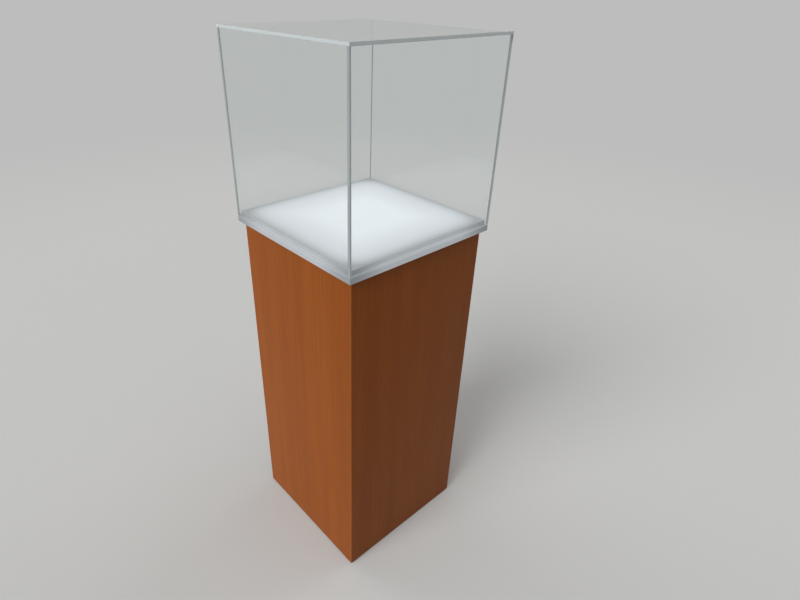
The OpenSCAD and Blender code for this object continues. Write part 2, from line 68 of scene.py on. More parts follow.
MM = 0.001
RIGHT = Vector((1.0, 0.0, 0.0))
BACK = Vector((0.0, 1.0, 0.0))
UP = Vector((0.0, 0.0, 1.0))

# Points closer than this are one point of a copied mesh
WELD = 1e-6
# Faces that meet at less than the first angle are one flat face, and at less than the second one curve
FLAT_EDGE = math.radians(0.5)
SOFT_EDGE = math.radians(38)
# A curve's facets are smaller than this, in square metres
FACET = 3e-5
# An arris is rounded where it is this many times as long as the rounding is wide
LONG = 2.5
# A face counts as facing along an axis where its direction's share of that axis is over this
FACING = 0.9
# Added before a count is rounded down, so that a whole number stays itself
HAIR = 1e-6


def srgb(red: float, green: float, blue: float) -> Colour:
    """Turns a colour as a picture has it, 0 to 255, into Blender's linear one."""
    shares = (red / 255, green / 255, blue / 255)
    return tuple(s / 12.92 if s <= 0.04045 else ((s + 0.055) / 1.055) ** 2.4 for s in shares)


def darker(colour: Colour, share: float) -> Colour:
    """The colour at a share of its brightness."""
    return tuple(share * part for part in colour)


def mm(x: float, y: float, z: float) -> Vector:
    """A vector in metres, from millimetres."""
    return Vector((x, y, z)) * MM


def spaced(count: int, whole: float = 1.0) -> list[float]:
    """The ends of equal steps from 0 to the whole, both ends included."""
    return [whole * k / count for k in range(count + 1)]


# ---- Shader maths ----


def both_ways(operation: str) -> tuple[Method, Method]:
    """Makes the two methods of an operator.

    Args:
        operation: The Math node's operation.

    Returns:
        The method for a wire on the left, and the reflected one for a wire on the right.
    """

    def plain(wire: "Wire", other: Operand) -> "Wire":
        """The wire with the other value on its right."""
        return wire.graph.maths(operation, wire, other)

    def reflected(wire: "Wire", other: Operand) -> "Wire":
        """The wire with the other value on its left, as in 1 - mask."""
        return wire.graph.maths(operation, other, wire)

    return plain, reflected


class Wire:
    """A shader socket that takes part in Python expressions, each of which adds its nodes."""

    __add__, __radd__ = both_ways("ADD")
    __sub__, __rsub__ = both_ways("SUBTRACT")
    __mul__, __rmul__ = both_ways("MULTIPLY")
    __truediv__, __rtruediv__ = both_ways("DIVIDE")
    __pow__, __rpow__ = both_ways("POWER")

    def __init__(self, graph: "Graph", socket: bpy.types.NodeSocket) -> None:
        """Keeps the graph and the socket."""
        self.graph = graph
        self.socket = socket

    def __abs__(self) -> "Wire":
        """Size without its sign."""
        return self.graph.maths("ABSOLUTE", self)

    def above(self, limit: Operand) -> "Wire":
        """1 where the value is over the limit, otherwise 0."""
        return self.graph.maths("GREATER_THAN", self, limit)

    def largest(self, other: Operand) -> "Wire":
        """The larger of two values."""
        return self.graph.maths("MAXIMUM", self, other)

    def smallest(self, other: Operand) -> "Wire":
        """The smaller of two values."""
        return self.graph.maths("MINIMUM", self, other)


class Graph:
    """The nodes of one material or of the world."""

    def __init__(self, tree: bpy.types.NodeTree) -> None:
        """Empties the tree."""
        self.tree = tree
        tree.nodes.clear()

    def add(
        self,
        kind: str,
        settings: dict[str, Any] | None = None,
        sockets: dict[str | int, Operand] | None = None,
        output: str | int = 0,
    ) -> Wire:
        """Adds one node.

        Args:
            kind: The node's Blender type.
            settings: The node's own properties, which are set first; "stops" fills a colour ramp.
            sockets: A value or a wire for each input, by identifier, name or number.
            output: The output to return, by identifier, name or number.

        Returns:
            The node's output, or its input where the node has no output.
        """
        node = self.tree.nodes.new(kind)
        for name, value in (settings or {}).items():
            if name == "stops":
                self._set_stops(node.color_ramp, value)
            else:
                setattr(node, name, value)
        for key, value in (sockets or {}).items():
            self._feed(self._find(node.inputs, key), value)
        return Wire(self, self._find(node.outputs or node.inputs, output))

    @staticmethod
    def _find(sockets: Iterable[bpy.types.NodeSocket], key: str | int) -> bpy.types.NodeSocket:
        """Finds a node's socket.

        Args:
            sockets: All its inputs or outputs.
            key: The socket's number, identifier or name.

        Returns:
            The socket.
        """
        if isinstance(key, int):
            return sockets[key]
        by_identifier = [socket for socket in sockets if socket.identifier == key]
        return (by_identifier or [socket for socket in sockets if socket.name == key])[0]

    def _feed(self, socket: bpy.types.NodeSocket, value: Operand) -> None:
        """Links a wire to an input, or sets the input's own value.

        Args:
            socket: The input.
            value: The wire, number, vector or colour.
        """
        if isinstance(value, Wire):
            self.tree.links.new(value.socket, socket)
        elif socket.type == "RGBA" and len(value) == 3:
            socket.default_value = (*value, 1.0)
        else:
            socket.default_value = value

    @staticmethod
    def _set_stops(ramp: bpy.types.ColorRamp, stops: Sequence[tuple[float, Colour]]) -> None:
        """Fills a colour ramp.

        Args:
            ramp: The ramp.
            stops: Pairs of a place from 0 to 1 and a colour.
        """
        while len(ramp.elements) < len(stops):
            ramp.elements.new(1.0)
        for element, (place, colour) in zip(ramp.elements, stops):
            element.position = place
            element.color = (*colour, 1.0)

    def maths(self, operation: str, *values: Operand) -> Wire:
        """Adds a Math node, or a Vector Math node where a vector or a colour takes part.

        Args:
            operation: The node's operation.
            values: Its inputs.

        Returns:
            The result.
        """
        wide = any(
            v.socket.type in ("VECTOR", "RGBA") if isinstance(v, Wire) else hasattr(v, "__len__")
            for v in values
        )
        if not wide:
            return self.add("ShaderNodeMath", {"operation": operation}, dict(enumerate(values)))
        spread = [v if isinstance(v, Wire) or hasattr(v, "__len__") else (v, v, v) for v in values]
        return self.add("ShaderNodeVectorMath", {"operation": operation}, dict(enumerate(spread)))

    def place(self) -> Wire:
        """The point on the piece, in metres in the piece's own frame."""
        return self.add("ShaderNodeTexCoord", output="Object")

    def normal(self) -> Wire:
        """The surface's direction."""
        return self.add("ShaderNodeNewGeometry", output="Normal")

    def axes(self, vector: Wire) -> list[Wire]:
        """Splits a vector into X, Y and Z, or a colour into its channels."""
        node = self.add("ShaderNodeSeparateXYZ", sockets={0: vector}).socket.node
        return [Wire(self, socket) for socket in node.outputs]

    def noise(self, vector: Wire, scale: float = 1.0, detail: float = 2.0, rough: float = 0.5) -> Wire:
        """Soft noise from 0 to 1, mostly near 0.5."""
        sockets = {"Vector": vector, "Scale": scale, "Detail": detail, "Roughness": rough}
        return self.add("ShaderNodeTexNoise", {"noise_dimensions": "3D"}, sockets)

    def smooth(self, value: Wire, low: float, high: float, start: float = 0.0, end: float = 1.0) -> Wire:
        """Goes smoothly from start to end as the value goes from low to high."""
        sockets = {"Value": value, "From Min": low, "From Max": high, "To Min": start, "To Max": end}
        return self.add("ShaderNodeMapRange", {"interpolation_type": "SMOOTHSTEP"}, sockets)

    def blend(self, share: Operand, first: Operand, second: Operand) -> Wire:
        """Mixes two colours."""
        sockets = {"Factor_Float": share, "A_Color": first, "B_Color": second}
        return self.add("ShaderNodeMix", {"data_type": "RGBA"}, sockets, "Result_Color")

    def bump(self, height: Wire, depth: float, strength: float = 1.0) -> Wire:
        """Relief of a given depth in metres."""
        sockets = {"Height": height, "Distance": depth, "Strength": strength}
        return self.add("ShaderNodeBump", sockets=sockets)

    def surface(
        self,
        colour: Operand,
        rough: Operand,
        relief: Wire | None = None,
        others: dict[str, Operand] | None = None,
    ) -> Wire:
        """Adds the main surface shader.

        Args:
            colour: Its base colour.
            rough: Its roughness.
            relief: Its normal, from a Bump node.
            others: Values of its other sockets, by name.

        Returns:
            The shader.
        """
        sockets = {"Base Color": colour, "Roughness": rough, **(others or {})}
        if relief is not None:
            sockets["Normal"] = relief
        return self.add("ShaderNodeBsdfPrincipled", sockets=sockets)

    def clear(self, tint: Colour, rough: Operand, index: float) -> Wire:
        """Adds glass that the lamps' light and light off matt surfaces go straight through.

        Args:
            tint: The colour that it gives to what is behind it.
            rough: Its roughness.
            index: Its refractive index.

        Returns:
            The shader.
        """
        glass = self.surface(tint, rough, others={"IOR": index, "Transmission Weight": 1.0})
        for kind in ("Is Diffuse Ray", "Is Shadow Ray"):
            straight = self.add("ShaderNodeBsdfTransparent", sockets={"Color": tint})
            glass = self.mix_shader(self.light_path(kind), glass, straight)
        return glass

    def mix_shader(self, share: Operand, first: Wire, second: Wire) -> Wire:
        """Mixes two shaders."""
        return self.add("ShaderNodeMixShader", sockets={0: share, 1: first, 2: second})

    def light_path(self, output: str) -> Wire:
        """1 for rays of one kind."""
        return self.add("ShaderNodeLightPath", output=output)

    def seen(self) -> Wire:
        """1 for what the eye sees, straight, in gloss or through a clear sheet."""
        clear = self.light_path("Is Glossy Ray").largest(self.light_path("Is Transmission Ray"))
        return self.light_path("Is Camera Ray").largest(clear)

    def finish(self, shader: Wire, kind: str = "ShaderNodeOutputMaterial") -> None:
        """Links the last shader to the output."""
        self.add(kind, sockets={"Surface": shader})


# ---- Finishes ----


@dataclass(frozen=True)
class Finish:
    """A surface finish. Each kind says how it shades.

    Attributes:
        name: The material's name.
    """

    name: str

    def shade(self, graph: Graph) -> Wire:
        """Builds the shader and returns it."""
        raise NotImplementedError

    def material(self) -> bpy.types.Material:
        """Makes the material, or finds the one that was made before.

        Returns:
            The material.
        """
        label = "finish_" + self.name
        made = bpy.data.materials.get(label)
        if made is None:
            made = bpy.data.materials.new(label)
            made.use_nodes = True
            graph = Graph(made.node_tree)
            graph.finish(self.shade(graph))
        return made


@dataclass(frozen=True)
class WoodLaminate(Finish):
    """Satin laminate with a fine upright grain on a particle-board core.

    Attributes:
        half: Half the plinth's width.
        panel: Thickness of a panel.
        skin: Thickness of the laminate.
        streaks: How fine the streaks are along each axis, as waves to the metre.
        fibres: How fine the fibres are.
        bands: How fine the slow bands are.
        pores: How fine the pores are.
        pale: The lighter wood tone.
        deep: The darker wood tone.
        pore: The tone of the pores.
        rubbed: The tone of the rubbed corners.
        chips: The darker and the lighter tone of the particle board.
        backing: The two tones of the backing sheet.
        wear: How fine the wear on the corners is.
        worn: Where that wear starts and ends, as distances from a corner.
        weave: How fine the backing sheet's marks are.
        board: How fine the chips of the particle board are.
        sheen: How fine the patches of gloss are.
        relief: Depth of the grain.
        specular: The strength of its gloss.
    """

    half: float = 0.2
    panel: float = 0.018
    skin: float = 0.0008
    streaks: Scale = (230, 230, 2.6)
    fibres: Scale = (1150, 1150, 15)
    bands: Scale = (21, 21, 0.8)
    pores: Scale = (1900, 1900, 42)
    pale: Colour = srgb(151, 80, 19)
    deep: Colour = srgb(134, 68, 14)
    pore: Colour = srgb(102, 50, 12)
    rubbed: Colour = srgb(164, 104, 62)
    chips: tuple[Colour, Colour] = (srgb(146, 112, 76), srgb(208, 178, 134))
    backing: tuple[Colour, Colour] = (srgb(196, 178, 150), srgb(180, 160, 130))
    wear: Scale = (90, 90, 30)
    worn: tuple[float, float] = (0.4 * MM, 2.6 * MM)
    weave: float = 60
    board: float = 420
    sheen: Scale = (35, 35, 12)
    relief: float = 0.04 * MM
    specular: float = 0.14

    def _face(self, graph: Graph, place: Wire) -> tuple[Wire, Wire]:
        """Colours the laminate.

        Args:
            graph: The material's nodes.
            place: The point on the panel.

        Returns:
            The colour and the grain's height.
        """
        fibre = graph.noise(place * self.fibres)
        grain = graph.noise(place * self.streaks, detail=4) * 0.45 + fibre * 0.25
        tone = graph.smooth(grain + graph.noise(place * self.bands) * 0.30, 0.36, 0.64)
        pores = graph.smooth(graph.noise(place * self.pores, detail=1), 0.60, 0.70)
        colour = graph.blend(pores * 0.22, graph.blend(tone, self.deep, self.pale), self.pore)
        return colour, fibre * 0.5 - pores

    def shade(self, graph: Graph) -> Wire:
        """Laminate outside, backing sheet inside, particle board on the sawn ends.

        Args:
            graph: The material's nodes.

        Returns:
            The shader.
        """
        place = graph.place()
        x, y, _ = graph.axes(place)
        depth = self.half - abs(x).largest(abs(y))
        face, grain = self._face(graph, place)
        worn = graph.smooth(self.half * 2 - abs(x) - abs(y), *self.worn, 0.8, 0.0)
        face = graph.blend(worn * graph.noise(place * self.wear, detail=3), face, self.rubbed)
        backing = graph.blend(graph.noise(place, self.weave), *self.backing)
        core = graph.blend(graph.smooth(graph.noise(place, self.board, 3, 0.7), 0.38, 0.62), *self.chips)
        inside = depth.above(self.panel - 0.5 * self.skin)
        between = depth.above(self.skin) * (1 - depth.above(self.panel - self.skin))
        on_end = abs(graph.axes(graph.normal())[2]).above(0.5) * between
        shine = 0.40 + 0.10 * graph.noise(place * self.sheen, detail=3)
        return graph.surface(
            graph.blend(on_end, graph.blend(inside, face, backing), core),
            shine + on_end * 0.4 + inside * 0.2,
            graph.bump(grain, self.relief, 0.5),
            {"Specular IOR Level": self.specular},
        )


@dataclass(frozen=True)
class Softwood(Finish):
    """Planed softwood with upright rings.

    Attributes:
        pale: The early wood's tone.
        deep: The late wood's tone.
        rings: How fine the rings are along each axis, as waves to the metre.
        fibres: How fine the fibres are.
        relief: Depth of the fibres.
    """

    pale: Colour = srgb(222, 192, 146)
    deep: Colour = srgb(182, 138, 88)
    rings: Scale = (300, 300, 3)
    fibres: Scale = (1500, 1500, 40)
    relief: float = 0.08 * MM

    def shade(self, graph: Graph) -> Wire:
        """Rings of two tones, with the fibres in relief.

        Args:
            graph: The material's nodes.

        Returns:
            The shader.
        """
        place = graph.place()
        rings = graph.noise(place * self.rings, detail=3)
        fibre = graph.noise(place * self.fibres)
        tone = graph.smooth(rings * 0.7 + fibre * 0.3, 0.4, 0.6)
        colour = graph.blend(tone, self.pale, self.deep)
        return graph.surface(colour, 0.62 + fibre * 0.2, graph.bump(fibre, self.relief, 0.6))


@dataclass(frozen=True)
class PaintedBoard(Finish):
    """White board with a faint roller texture and scuffs.

    Attributes:
        colour: The paint.
        scuff: The tone of the scuffs.
        stipple: How fine the roller texture is, as waves to the metre.
        scuffs: How fine the scuffs are along each axis.
        relief: Depth of the roller texture.
    """

    colour: Colour = srgb(232, 232, 228)
    scuff: Colour = srgb(196, 192, 184)
    stipple: float = 700
    scuffs: Scale = (26, 14, 26)
    relief: float = 0.06 * MM

    def shade(self, graph: Graph) -> Wire:
        """Roller texture, with scuffs where the noise is high.

        Args:
            graph: The material's nodes.

        Returns:
            The shader.
        """
        place = graph.place()
        stipple = graph.noise(place, self.stipple)
        scuffs = graph.smooth(graph.noise(place * self.scuffs, detail=5, rough=0.7), 0.60, 0.78)
        colour = graph.blend(scuffs * 0.5, self.colour, self.scuff)
        return graph.surface(colour, 0.48 + scuffs * 0.2, graph.bump(stipple, self.relief, 0.5))


@dataclass(frozen=True)
class MouldedPlastic(Finish):
    """Moulded plastic with a spark-eroded texture.

    Attributes:
        colour: The plastic's colour.
        rough: Its middle roughness.
        texture: Distance between the texture's bumps.
        glow: Strength of the light that it gives off.
        patches: How fine the patches of tone and gloss are, as waves to the metre.
        relief: Depth of the texture.
    """

    colour: Colour
    rough: float
    texture: float = 0.5 * MM
    glow: float = 0.0
    patches: float = 45
    relief: float = 0.03 * MM

    def shade(self, graph: Graph) -> Wire:
        """Fine texture, with slow changes of tone and gloss.

        Args:
            graph: The material's nodes.

        Returns:
            The shader.
        """
        place = graph.place()
        grain = graph.noise(place, 1 / self.texture)
        patch = graph.noise(place, self.patches, 3)
        return graph.surface(
            graph.blend(patch * 0.6 + grain * 0.4, darker(self.colour, 0.86), self.colour),
            self.rough - 0.06 + 0.12 * patch,
            graph.bump(grain, self.relief, 0.5),
            {"Emission Color": self.colour, "Emission Strength": self.glow},
        )


@dataclass(frozen=True)
class PlatedMetal(Finish):
    """Plated metal with a fine turned or rolled surface.

    Attributes:
        colour: The metal's colour.
        rough: Its middle roughness.
        lines: How fine the lines are along each axis, as waves to the metre.
        stains: How fine the stains are.
        relief: Depth of the lines.
    """

    colour: Colour
    rough: float
    lines: Scale = (2500, 2500, 600)
    stains: float = 140
    relief: float = 0.01 * MM

    def shade(self, graph: Graph) -> Wire:
        """Fine lines, with faint stains.

        Args:
            graph: The material's nodes.

        Returns:
            The shader.
        """
        place = graph.place()
        lines = graph.noise(place * self.lines)
        stain = graph.smooth(graph.noise(place, self.stains, 3), 0.45, 0.75)
        return graph.surface(
            graph.blend(stain * 0.5, self.colour, darker(self.colour, 0.72)),
            self.rough - 0.05 + 0.1 * lines + 0.12 * stain,
            graph.bump(lines, self.relief, 0.4),
            {"Metallic": 1.0},
        )


@dataclass(frozen=True)
class ClearGlass(Finish):
    """Small clear glass piece with a little dust.

    Attributes:
        tint: The colour that it gives to what is behind it.
        index: Its refractive index.
        dust: How fine the dust is, as waves to the metre.
    """

    tint: Colour = (0.94, 0.98, 0.97)
    index: float = 1.5
    dust: float = 900

    def shade(self, graph: Graph) -> Wire:
        """Glass, less smooth where dust lies."""
        dust = graph.smooth(graph.noise(graph.place(), self.dust), 0.55, 0.8)
        return graph.clear(self.tint, 0.01 + 0.05 * dust, self.index)


@dataclass(frozen=True)
class ClearSheet(Finish):
    """Polished clear acrylic sheet with faint wiping marks.

    Attributes:
        tint: The colour that each face gives to what is behind it.
        index: Its refractive index.
        smudges: How fine the smudges are, as waves to the metre.
        wipes: How fine the wiping marks are along each axis.
    """

    tint: Colour = (0.955, 0.972, 0.970)
    index: float = 1.49
    smudges: float = 9
    wipes: Scale = (16, 16, 240)

    def shade(self, graph: Graph) -> Wire:
        """Glass with smudges and fine scratches in its gloss.

        Args:
            graph: The material's nodes.

        Returns:
            The shader.
        """
        place = graph.place()
        smudge = graph.smooth(graph.noise(place, self.smudges, 5, 0.65), 0.58, 0.75)
        wipe = graph.smooth(graph.noise(place * self.wipes, detail=3), 0.62, 0.72)
        return graph.clear(self.tint, 0.035 * smudge + 0.03 * wipe, self.index)


@dataclass(frozen=True)
class SheetEdge(Finish):
    """Satin sawn or bonded edge of a clear sheet, with a painted glow for the light led along the sheet to
    it.

    Attributes:
        colour: The edge's colour.
        glow: Strength of its painted glow.
        light: The colour of that painted glow.
        rough: The edge's roughness.
        lines: How fine the saw lines are along each axis, as waves to the metre.
        patches: How fine the patches of tone are.
        bubbles: How fine the bubbles are.
        relief: Depth of the saw lines.
    """

    colour: Colour
    glow: float = 0.05
    light: Colour = (0.86, 0.93, 1.0)
    rough: float = 0.32
    lines: Scale = (900, 900, 260)
    patches: float = 38
    bubbles: float = 1400
    relief: float = 0.02 * MM

    def shade(self, graph: Graph) -> Wire:
        """Saw lines across the edge, and small bubbles in the cement.

        Args:
            graph: The material's nodes.

        Returns:
            The shader.
        """
        place = graph.place()
        lines = graph.noise(place * self.lines)
        patch = graph.noise(place, self.patches, 3)
        bubbles = graph.smooth(graph.noise(place, self.bubbles, 1), 0.66, 0.74)
        return graph.surface(
            graph.blend(patch * 0.7 + bubbles * 0.3, self.colour, darker(self.colour, 0.74)),
            self.rough - 0.05 + 0.1 * lines,
            graph.bump(lines, self.relief, 0.5),
            {"Emission Color": self.light, "Emission Strength": self.glow},
        )


@dataclass(frozen=True)
class LitOpal(Finish):
    """Opal acrylic with a painted glow for the light of the lamps below, brightest over the lamps.

    Attributes:
        sheet_top: Height of the raised sheet's top.
        joint: Height of the joint between the two sheets.
        colour: The sheet's own colour.
        shaded_sides: The sides' colour, darker than the top's: painted shade.
        tint: The colour of the light.
        reach: The falloff's far end, as a distance from the middle.
        falloff: Brightness of the top at shares of the reach, from the middle out.
        square: How square the lit area is; 2 is round.
        side: Brightness of the sides in the middle of their length.
        at_joint: How much brighter they are at the joint.
        near_joint: Where that rise is full and where it ends, as distances from the joint.
        corner: Where their brightness starts to fall towards a corner, as a distance from the middle.
        at_corner: Share of that brightness left at the falloff's far end.
        uneven: How fine the slow changes of the light are, as waves to the metre.
        clouds: How fine the clouds in its gloss are.
        dust: How fine the dust on it is.
        relief: Depth of the clouds.
    """

    sheet_top: float = 0.927
    joint: float = 0.915
    colour: Colour = srgb(142, 144, 147)
    # Painted shade: the sides take a darker colour than the top
    shaded_sides: Colour = srgb(122, 124, 128)
    tint: Colour = (0.925, 0.975, 1.03)
    reach: float = 0.212
    falloff: tuple[tuple[float, float], ...] = (
        (0.0, 0.64),
        (0.38, 0.63),
        (0.57, 0.56),
        (0.71, 0.50),
        (0.80, 0.45),
        (0.87, 0.36),
        (0.92, 0.24),
        (0.97, 0.11),
    )
    square: float = 8.0
    side: float = 0.285
    at_joint: float = 0.10
    near_joint: tuple[float, float] = (0.5 * MM, 4.0 * MM)
    corner: float = 0.10
    at_corner: float = 0.35
    uneven: float = 14
    clouds: float = 60
    dust: float = 700
    relief: float = 0.02 * MM

    def _top_glow(self, graph: Graph, x: Wire, y: Wire) -> Wire:
        """Works out the brightness of the top, with the lit area's corners round.

        Args:
            graph: The material's nodes.
            x: The point's distance to the right of the middle.
            y: Its distance behind the middle.

        Returns:
            The brightness.
        """
        distance = (abs(x) ** self.square + abs(y) ** self.square) ** (1 / self.square)
        stops = [(place, (level, level, level)) for place, level in self.falloff]
        grey = graph.add("ShaderNodeValToRGB", {"stops": stops}, {0: distance / self.reach})
        return graph.axes(grey)[0]

    def _side_glow(self, graph: Graph, x: Wire, y: Wire, z: Wire) -> Wire:
        """Works out the brightness of the sides, which falls towards the corners and rises at the joint.

        Args:
            graph: The material's nodes.
            x: The point's distance to the right of the middle.
            y: Its distance behind the middle.
            z: Its height.

        Returns:
            The brightness.
        """
        along = graph.smooth(abs(x).smallest(abs(y)), self.corner, self.reach, 1.0, self.at_corner)
        rise = graph.smooth(abs(z - self.joint), *self.near_joint, self.at_joint, 0.0)
        return (self.side + rise) * along

    def shade(self, graph: Graph) -> Wire:
        """Own colour with a soft gloss, and light by place.

        Args:
            graph: The material's nodes.

        Returns:
            The shader.
        """
        place = graph.place()
        x, y, z = graph.axes(place)
        on_top = z.above(self.sheet_top - 0.3 * MM)
        # Painted glow for the lamps' light through the sheet: on the top by the falloff, on the sides
        # rising at the joint and falling towards the corners
        level = on_top * self._top_glow(graph, x, y) + (1 - on_top) * self._side_glow(graph, x, y, z)
        uneven = graph.noise(place, self.uneven) * 0.04 + 0.98
        cloud = graph.noise(place, self.clouds, 3)
        dust = graph.smooth(graph.noise(place, self.dust), 0.60, 0.74)
        # Painted shade: the sides get the darker colour and the top the sheet's own
        own = graph.blend(on_top, self.shaded_sides, self.colour)
        return graph.surface(
            own * (1 - 0.05 * (cloud * 0.6 + dust * 0.4)),
            0.20 + 0.08 * cloud + 0.1 * dust,
            graph.bump(cloud, self.relief, 0.3),
            {"Emission Color": level * uneven * self.tint, "Emission Strength": 1.0},
        )


@dataclass(frozen=True)
class PlainFloor(Finish):
    """Plain pale floor that runs out into the backdrop's colour.

    Attributes:
        colour: The floor's colour.
        backdrop: The colour that it runs out into.
        bounce: The darker colour that the light bounces off.
        fade: Where the run-out starts and ends, as distances from the middle.
        specks: How fine the specks are, as waves to the metre.
    """

    colour: Colour = srgb(200, 200, 198)
    backdrop: Colour = srgb(188, 189, 188)
    bounce: Colour = srgb(140, 140, 139)
    fade: tuple[float, float] = (2.2, 5.5)
    specks: float = 60

    def shade(self, graph: Graph) -> Wire:
        """Matt floor near the cabinet and plain backdrop far off.

        Args:
            graph: The material's nodes.

        Returns:
            The shader.
        """
        place = graph.place()
        x, y, _ = graph.axes(place)
        far = graph.smooth((x * x + y * y) ** 0.5, *self.fade)
        speckled = graph.blend(graph.noise(place, self.specks, 3), self.colour, darker(self.colour, 0.985))
        matt = graph.surface(speckled, 0.9, others={"Specular IOR Level": 0.2})
        plain = graph.add("ShaderNodeEmission", sockets={"Color": self.backdrop, "Strength": 1.0})
        dim = graph.add("ShaderNodeBsdfDiffuse", sockets={"Color": self.bounce})
        return graph.mix_shader(graph.seen(), dim, graph.mix_shader(far, matt, plain))


ZINC = PlatedMetal("zinc_plate", srgb(206, 205, 200), 0.3)
TINNED_COPPER = PlatedMetal("tinned_copper", srgb(206, 170, 128), 0.28)


# ---- Shapes ----


class Shape:
    """A mesh under construction, whose faces each have a finish."""

    def __init__(self) -> None:
        """Starts an empty mesh."""
        self.mesh = bmesh.new()
        self.finishes: list[Finish] = []

    @classmethod
    def softened(cls, node: str, width: float, finish: Finish) -> "Shape":
        """Starts with a copy of a node's shape, with its long sharp arrises rounded.

        Args:
            node: The CAD node.
            width: Width of the rounding.
            finish: The finish of all its faces.

        Returns:
            The shape.
        """
        part = bmesh.new()
        part.from_mesh(frame["nodes"][node].data)
        bmesh.ops.remove_doubles(part, verts=part.verts[:], dist=WELD)
        bmesh.ops.dissolve_limit(part, angle_limit=FLAT_EDGE, verts=part.verts[:], edges=part.edges[:])
        for face in part.faces:
            curved = any(FLAT_EDGE < edge.calc_face_angle(0.0) < SOFT_EDGE for edge in face.edges)
            face.smooth = curved and len(face.verts) == 4 and face.calc_area() < FACET
        sharp = [edge for edge in part.edges if edge.calc_face_angle(0.0) > SOFT_EDGE]
        arrises = [edge for edge in sharp if edge.calc_length() > LONG * width]
        made = bmesh.ops.bevel(part, geom=arrises, offset=width, segments=3, affect="EDGES", profile=0.5)
        for face in made["faces"]:
            face.smooth = True
        bmesh.ops.dissolve_degenerate(part, dist=WELD, edges=part.edges[:])
        shape = cls()
        shape._take(part, finish)
        return shape

    def _number(self, finish: Finish) -> int:
        """Finds the finish's material number, which is given at its first use.

        Args:
            finish: The finish.

        Returns:
            The number.
        """
        if finish not in self.finishes:
            self.finishes.append(finish)
        return self.finishes.index(finish)

    def _take(
        self, part: bmesh.types.BMesh, finish: Finish, at: Matrix = Matrix(), curved: bool = False
    ) -> None:
        """Moves a part into place, adds it to the mesh and gives it a finish.

        Args:
            part: The part, which is freed.
            finish: The finish of all its faces.
            at: Where the part goes.
            curved: Whether all its faces are shaded as curved ones.
        """
        part.transform(at)
        number = self._number(finish)
        for face in part.faces:
            face.material_index = number
            face.smooth = face.smooth or curved
        for edge in part.edges:
            edge.smooth = edge.calc_face_angle(math.pi) < SOFT_EDGE
        data = bpy.data.meshes.new("part")
        part.to_mesh(data)
        part.free()
        self.mesh.from_mesh(data)
        bpy.data.meshes.remove(data)

    def _skin(
        self, loops: Sequence[list[Vector]], finish: Finish, at: Matrix = Matrix(), endless: bool = False
    ) -> None:
        """Adds a skin over loops of points, each joined to the next.

        Args:
            loops: The loops, all with as many points.
            finish: The finish of all its faces.
            at: Where it goes.
            endless: Whether the last loop joins the first; otherwise both are closed with a face.
        """
        part = bmesh.new()
        corners = [[part.verts.new(point) for point in loop] for loop in loops]
        for loop, after in zip(corners, corners[1:] + corners[:1] if endless else corners[1:]):
            for k in range(len(loop)):
                part.faces.new((loop[k - 1], loop[k], after[k], after[k - 1]))
        if not endless:
            part.faces.new(corners[0])
            part.faces.new(corners[-1])
        bmesh.ops.recalc_face_normals(part, faces=part.faces[:])
        self._take(part, finish, at, curved=True)

    def box(
        self,
        low: Vector,
        high: Vector,
        finish: Finish,
        arris: float = 0.0,
        segments: int = 2,
        at: Matrix = Matrix(),
    ) -> None:
        """Adds a block between two corners.

        Args:
            low: Its lowest corner along all three axes.
            high: Its opposite corner.
            finish: The finish of all its faces.
            arris: Width of the rounding of its arrises.
            segments: Number of faces across that rounding.
            at: Where it goes.
        """
        part = bmesh.new()
        bmesh.ops.create_cube(part, size=1.0)
        part.transform(Matrix.Translation((low + high) / 2) @ Matrix.Diagonal((*(high - low), 1.0)))
        if arris > 0:
            edges = part.edges[:]
            bmesh.ops.bevel(part, geom=edges, offset=arris, segments=segments, affect="EDGES", profile=0.5)
        self._take(part, finish, at)

    def block(self, foot: Vector, size: Vector, finish: Finish, arris: float = 0.0) -> None:
        """Adds a block that stands on a point.

        Args:
            foot: The middle of its underside.
            size: Half its width, half its depth and its whole height.
            finish: The finish of all its faces.
            arris: Width of the rounding of its arrises.
        """
        half = Vector((size.x, size.y, 0))
        self.box(foot - half, foot + half + UP * size.z, finish, arris)

    def disc(self, foot: Vector, radius: float, height: float, finish: Finish, sides: int = 20) -> None:
        """Adds a round block that stands on a point.

        Args:
            foot: The middle of its underside.
            radius: Its radius.
            height: Its height.
            finish: The finish of all its faces.
            sides: Number of faces round it.
        """
        part = bmesh.new()
        size = {"radius1": radius, "radius2": radius, "depth": height}
        bmesh.ops.create_cone(part, cap_ends=True, segments=sides, **size)
        self._take(part, finish, Matrix.Translation(foot + UP * height / 2), curved=True)

    def drop(self, middle: Vector, size: Vector, finish: Finish) -> None:
        """Adds a rounded drop, such as a solder joint.

        Args:
            middle: Its middle.
            size: Its whole size.
            finish: The finish of all its faces.
        """
        part = bmesh.new()
        bmesh.ops.create_icosphere(part, subdivisions=3, radius=0.5)
        self._take(part, finish, Matrix.Translation(middle) @ Matrix.Diagonal((*size, 1.0)), curved=True)

    def tube(self, path: Sequence[Vector], radius: float, finish: Finish, sides: int = 20) -> None:
        """Adds a round cord or wire along a path, closed at both ends.

        Args:
            path: Points along its middle.
            radius: Its radius.
            finish: The finish of all its faces.
            sides: Number of faces round it.
        """
        across = (path[1] - path[0]).orthogonal()
        turns = spaced(sides, math.tau)[:-1]
        loops = []
        for before, point, after in zip([path[0], *path], path, [*path[1:], path[-1]]):
            along = (after - before).normalized()
            across = (across - along * across.dot(along)).normalized()
            beside = along.cross(across)
            loops.append([point + radius * (math.cos(a) * across + math.sin(a) * beside) for a in turns])
        self._skin(loops, finish)

    def hoop(self, spokes: Sequence[Spoke], section: Section, finish: Finish, at: Matrix) -> None:
        """Adds a closed rim.

        Args:
            spokes: Points on the way round it, each with the direction out.
            section: Its cross-section's corners, as millimetres out and up.
            finish: The finish of all its faces.
            at: Where its middle goes.
        """
        loops = [[start + (way * out + UP * up) * MM for start, way in spokes] for out, up in section]
        self._skin(loops, finish, at, endless=True)

